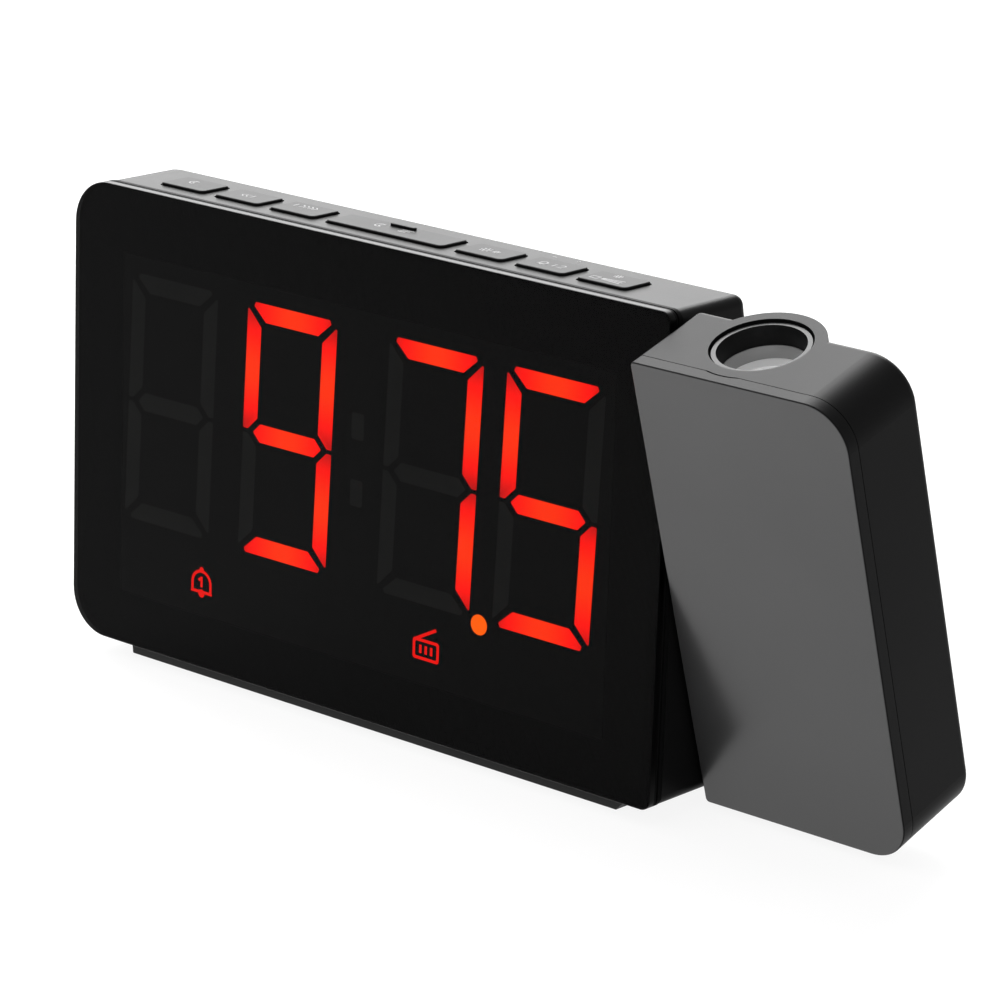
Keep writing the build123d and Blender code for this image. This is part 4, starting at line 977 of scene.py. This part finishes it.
class CLOCK_OT_projector(ClockOperator, bpy.types.Operator):
    """Finish the projector arm, its focus ring, lenses and light"""

    bl_idname = "clock.projector"
    bl_label = "Projector Arm"

    ACRYLIC_INDEX = 1.49
    LACQUER_EDGE = (0.01 * MM, 0.08 * MM)  # depth behind the cover's face where its lacquer and its painted pale tone end
    LACQUER_INDEX = 1.6

    def execute(self, context):
        look = context.scene.clock_finish
        dress(satin_black("Satin Black Arm", look), "arm_housing")
        dress(self.lacquer_and_painted_light(look), "arm_front_cover")
        self.finish_barrel()
        self.finish_optics(look)
        acetal = moulded("Pivot Acetal", grey(0.05), roughness=0.35, gloss=0.5)
        dress(acetal, "pivot_bush", "friction_washer", "pivot_shaft")
        return {"FINISHED"}

    def finish_barrel(self):
        """The mouldings that hold the lenses, all from polished moulds, with the lens mount painted
        pale.
        """
        ring = moulded(
            "Focus Ring", (0.006, 0.006, 0.0061), roughness=0.28, gloss=0.056, depth=POLISHED
        )
        dress(ring, "focus_ring")
        inner = moulded("Slide Frame", grey(0.035), roughness=0.3, gloss=0.5, depth=POLISHED)
        dress(inner, "slide_frame")
        # Painted highlight: the lens mount is near white, so that its inner wall shows as part of
        # the pale lens disc.
        painted_pale_mount = moulded("Lens Mount", grey(0.80), roughness=0.35, gloss=0.4, depth=POLISHED)
        dress(painted_pale_mount, "lens_cell")
        retainer = moulded("Lens Retainer", grey(0.24), roughness=0.2, gloss=0.6, depth=POLISHED)
        dress(retainer, "lens_retainer")

    def finish_optics(self, look):
        """The clear lenses, the front one with a painted glow for the lamp's light on it, and the
        slide.
        """
        glass = clear_plastic(
            "Projector Lenses", (0.97, 0.98, 0.98), self.ACRYLIC_INDEX, roughness=0.01
        )
        dress(glass, "rear_lens", "condenser_lens")
        front = clear_plastic(
            "Projection Lens", grey(0.80), self.ACRYLIC_INDEX, roughness=0.04, clarity=0.3
        )
        # Painted light: the front lens glows on its own, for the lamp's light on it.
        lit = front.node_tree.nodes["Principled BSDF"]
        lit.inputs["Emission Color"].default_value = WHITE
        lit.inputs["Emission Strength"].default_value = look.painted_lens_glow
        dress(front, "projection_lens")
        slide = clear_plastic("Projection Slide", (0.10, 0.10, 0.11), 1.5, roughness=0.05)
        dress(slide, "projector_slide")

    def lacquer_and_painted_light(self, look):
        """The cover's finish: satin lacquer over grey on its front face, bare black on its rim; the
        grey is painted light, which makes the face show paler than the rim.
        """
        face = broad_face("arm_front_cover")
        made = moulded(
            "Satin Arm Face",
            look.arm_face_painted_colour,
            roughness=look.casing_roughness,
            gloss=look.casing_gloss,
        )
        tree = made.node_tree
        shader = tree.nodes["Principled BSDF"]
        pale = shader.inputs["Base Color"].links[0].from_socket
        from_face = vector_maths(tree, "SUBTRACT", object_place(tree), face.center)
        depth = vector_maths(tree, "DOT_PRODUCT", from_face, -face.normal)
        rim = spread(tree, depth, *self.LACQUER_EDGE)
        # Painted light: the front face gets the paler grey, the rim the casing's black.
        tone = blend_colours(tree, rim, pale, opaque(look.casing_colour))
        tree.links.new(tone, shader.inputs["Base Color"])
        lacquer = calculate(tree, "SUBTRACT", 1.0, rim)
        tree.links.new(lacquer, shader.inputs["Coat Weight"])
        shader.inputs["Coat Roughness"].default_value = look.arm_face_roughness
        shader.inputs["Coat IOR"].default_value = self.LACQUER_INDEX
        return made


class CLOCK_OT_fasteners(ClockOperator, bpy.types.Operator):
    """Finish the screws, spring washer, retaining ring and cell contact"""

    bl_idname = "clock.fasteners"
    bl_label = "Fasteners"

    def execute(self, context):
        zinc = metal("Zinc Plate", (0.56, 0.56, 0.57), roughness=0.32)
        dress(
            zinc,
            "housing_screws",
            "arm_screws",
            "key_board_screws",
            "pivot_retainer",
            "spring_washer",
            "cell_contact",
        )
        return {"FINISHED"}


class CLOCK_OT_electrics(ClockOperator, bpy.types.Operator):
    """Finish the boards, chips, sockets, speaker and backup cell"""

    bl_idname = "clock.electrics"
    bl_label = "Boards, Sockets and Speaker"

    def execute(self, context):
        board = circuit_board(
            "Circuit Board", mask=(0.010, 0.075, 0.030), copper=(0.70, 0.55, 0.32)
        )
        dress(board, "display_board", "main_board", "key_board", "socket_board", "projector_board")
        package = moulded(
            "Moulded Black Parts", grey(0.020), roughness=0.5, gloss=0.4, grain=3200.0
        )
        dress(package, "key_switches", "board_headers", "main_chip", "dc_socket")
        chips = moulded("Lamp Chips", (0.75, 0.74, 0.68), roughness=0.4, gloss=0.5, drift=0.04)
        dress(chips, "display_leds", "projector_led")
        steel = metal("Pressed Steel", (0.50, 0.50, 0.51), roughness=0.38)
        dress(steel, "usb_socket", "speaker_basket", "speaker_magnet", "backup_cell")
        low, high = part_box("speaker_cone")
        magnet_low, magnet_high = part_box("speaker_magnet")
        centre = (low + high) / 2
        axis = (centre - (magnet_low + magnet_high) / 2).normalized()
        paper = pressed_paper("Cone Paper", grey(0.018), centre, axis)
        dress(paper, "speaker_cone")
        return {"FINISHED"}


class CLOCK_OT_stage(ClockOperator, bpy.types.Operator):
    """Lay the floor, hang the lamps and set up the camera"""

    bl_idname = "clock.stage"
    bl_label = "Stage"

    # Each softbox: the way to it from the clock, its distance, its size and its power's setting.
    SOFTBOXES = {
        "back_softbox": ((-0.62, 0.58, 0.52), 0.95, (1.1, 0.8), "back_power"),
        "high_softbox": ((-0.47, 0.38, 0.79), 0.95, (0.9, 0.5), "high_power"),
        "front_softbox": ((-0.25, -0.70, 0.75), 1.1, (0.8, 0.8), "front_power"),
    }
    # Where the floor is seen, it keeps this share of its colour, which shows the shadow, and adds
    # its own light, so that it looks white however dim the lamps are.
    FLOOR_SHADE = 0.16
    FLOOR_LIFT = 0.89
    SENSOR_WIDTH = 36.0  # millimetres
    CLIP = (0.05, 50.0)  # nearest and furthest thing that the camera sees, in metres

    def execute(self, context):
        stage = context.scene.clock_stage
        self.light_room(context, stage)
        self.lay_floor(context, stage)
        middle = sum(CAD_BOX, Vector()) / 2
        for name, (way, distance, size, setting) in self.SOFTBOXES.items():
            reach = Vector(way).normalized() * distance
            self.hang_softbox(context, name, middle, reach, size, getattr(stage, setting))
        self.place_camera(context, stage)
        context.scene.view_settings.view_transform = "Standard"
        return {"FINISHED"}

    def seen_directly(self, tree):
        """Mask of the rays that show the background: camera, glossy and transmission rays."""
        path = tree.nodes.new("ShaderNodeLightPath")
        shown = calculate(
            tree, "ADD", path.outputs["Is Camera Ray"], path.outputs["Is Glossy Ray"], clamp=True
        )
        return calculate(tree, "ADD", shown, path.outputs["Is Transmission Ray"], clamp=True)

    def light_room(self, context, stage):
        """An even room light, behind which the background shows white."""
        world = bpy.data.worlds.new("Studio")
        world.use_nodes = True
        tree = world.node_tree
        shine = tree.nodes["Background"]
        shine.inputs["Color"].default_value = WHITE
        seen = self.seen_directly(tree)
        strength = spread(tree, seen, 0.0, 1.0, stage.ambient, 1.0)
        tree.links.new(strength, shine.inputs["Strength"])
        context.scene.world = world

    def lay_floor(self, context, stage):
        """A pale floor that shows white and keeps the clock's shadow."""
        half = stage.floor_width / 2
        shape = bmesh.new()
        corners = [(-half, -half, 0), (half, -half, 0), (half, half, 0), (-half, half, 0)]
        shape.faces.new([shape.verts.new(corner) for corner in corners])
        mesh = bpy.data.meshes.new("floor")
        shape.to_mesh(mesh)
        shape.free()
        floor = bpy.data.objects.new("floor", mesh)
        context.scene.collection.objects.link(floor)
        made = bpy.data.materials.new("Studio Floor")
        made.use_nodes = True
        tree = made.node_tree
        tree.nodes.remove(tree.nodes["Principled BSDF"])
        colour = stage.floor_colour
        plain = add_node(tree, "ShaderNodeBsdfDiffuse", Color=opaque(colour))
        dim = add_node(tree, "ShaderNodeBsdfDiffuse", Color=shaded(colour, self.FLOOR_SHADE))
        lift = add_node(tree, "ShaderNodeEmission", Color=WHITE, Strength=self.FLOOR_LIFT)
        both = tree.nodes.new("ShaderNodeAddShader")
        tree.links.new(dim.outputs[0], both.inputs[0])
        tree.links.new(lift.outputs[0], both.inputs[1])
        mix = tree.nodes.new("ShaderNodeMixShader")
        tree.links.new(self.seen_directly(tree), mix.inputs[0])
        tree.links.new(plain.outputs[0], mix.inputs[1])
        tree.links.new(both.outputs[0], mix.inputs[2])
        tree.links.new(mix.outputs[0], tree.nodes["Material Output"].inputs["Surface"])
        mesh.materials.append(made)

    def hang_softbox(self, context, name, aim, reach, size, power):
        """A rectangular lamp at the end of the reach that looks back at its aim."""
        lamp = bpy.data.lights.new(name, "AREA")
        lamp.shape = "RECTANGLE"
        lamp.size, lamp.size_y = size
        lamp.energy = power
        holder = bpy.data.objects.new(name, lamp)
        holder.location = aim + reach
        holder.rotation_mode = "QUATERNION"
        holder.rotation_quaternion = (-reach).to_track_quat("-Z", "Y")
        holder.visible_camera = False
        context.scene.collection.objects.link(holder)

    def place_camera(self, context, stage):
        """The scene's camera, where the settings put it."""
        data = bpy.data.cameras.new("camera")
        data.lens = stage.focal_length
        data.sensor_width = self.SENSOR_WIDTH
        data.clip_start, data.clip_end = self.CLIP
        camera = bpy.data.objects.new("camera", data)
        camera.location = stage.camera_place
        camera.rotation_euler = stage.camera_turn
        context.scene.collection.objects.link(camera)
        context.scene.camera = camera


OPERATORS = (
    CLOCK_OT_effects,
    CLOCK_OT_casing,
    CLOCK_OT_front,
    CLOCK_OT_display,
    CLOCK_OT_keys,
    CLOCK_OT_projector,
    CLOCK_OT_fasteners,
    CLOCK_OT_electrics,
    CLOCK_OT_stage,
)


class CLOCK_PT_panel(bpy.types.Panel):
    """Lists the clock's operators and settings"""

    bl_label = "Projection Alarm Clock"
    bl_idname = "CLOCK_PT_panel"
    bl_space_type = "VIEW_3D"
    bl_region_type = "UI"
    bl_category = "Clock"

    def draw(self, context):
        """A button for each operator, then a box for each group of settings"""
        layout = self.layout
        for operator in OPERATORS:
            layout.operator(operator.bl_idname)
        for name in SETTINGS:
            settings = getattr(context.scene, name)
            box = layout.box()
            for label in settings.bl_rna.properties.keys():
                if label not in ("rna_type", "name"):
                    box.prop(settings, label)


SETTINGS = {
    "clock_finish": ClockFinishSettings,
    "clock_display": ClockDisplaySettings,
    "clock_marks": ClockMarkSettings,
    "clock_stage": ClockStageSettings,
}


def register():
    """Registers the classes and hangs the settings on the scene."""
    for group in SETTINGS.values():
        bpy.utils.register_class(group)
    for operator in OPERATORS:
        bpy.utils.register_class(operator)
    bpy.utils.register_class(CLOCK_PT_panel)
    for name, group in SETTINGS.items():
        setattr(bpy.types.Scene, name, PointerProperty(type=group))


def unregister():
    """Takes the settings and the classes away again."""
    for name in SETTINGS:
        delattr(bpy.types.Scene, name)
    bpy.utils.unregister_class(CLOCK_PT_panel)
    for operator in reversed(OPERATORS):
        bpy.utils.unregister_class(operator)
    for group in reversed(SETTINGS.values()):
        bpy.utils.unregister_class(group)


def main():
    """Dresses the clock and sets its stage."""
    register()
    bpy.ops.clock.effects()
    bpy.ops.clock.casing()
    bpy.ops.clock.front()
    bpy.ops.clock.display()
    bpy.ops.clock.keys()
    bpy.ops.clock.projector()
    bpy.ops.clock.fasteners()
    bpy.ops.clock.electrics()
    bpy.ops.clock.stage()


if __name__ == "__main__":
    main()
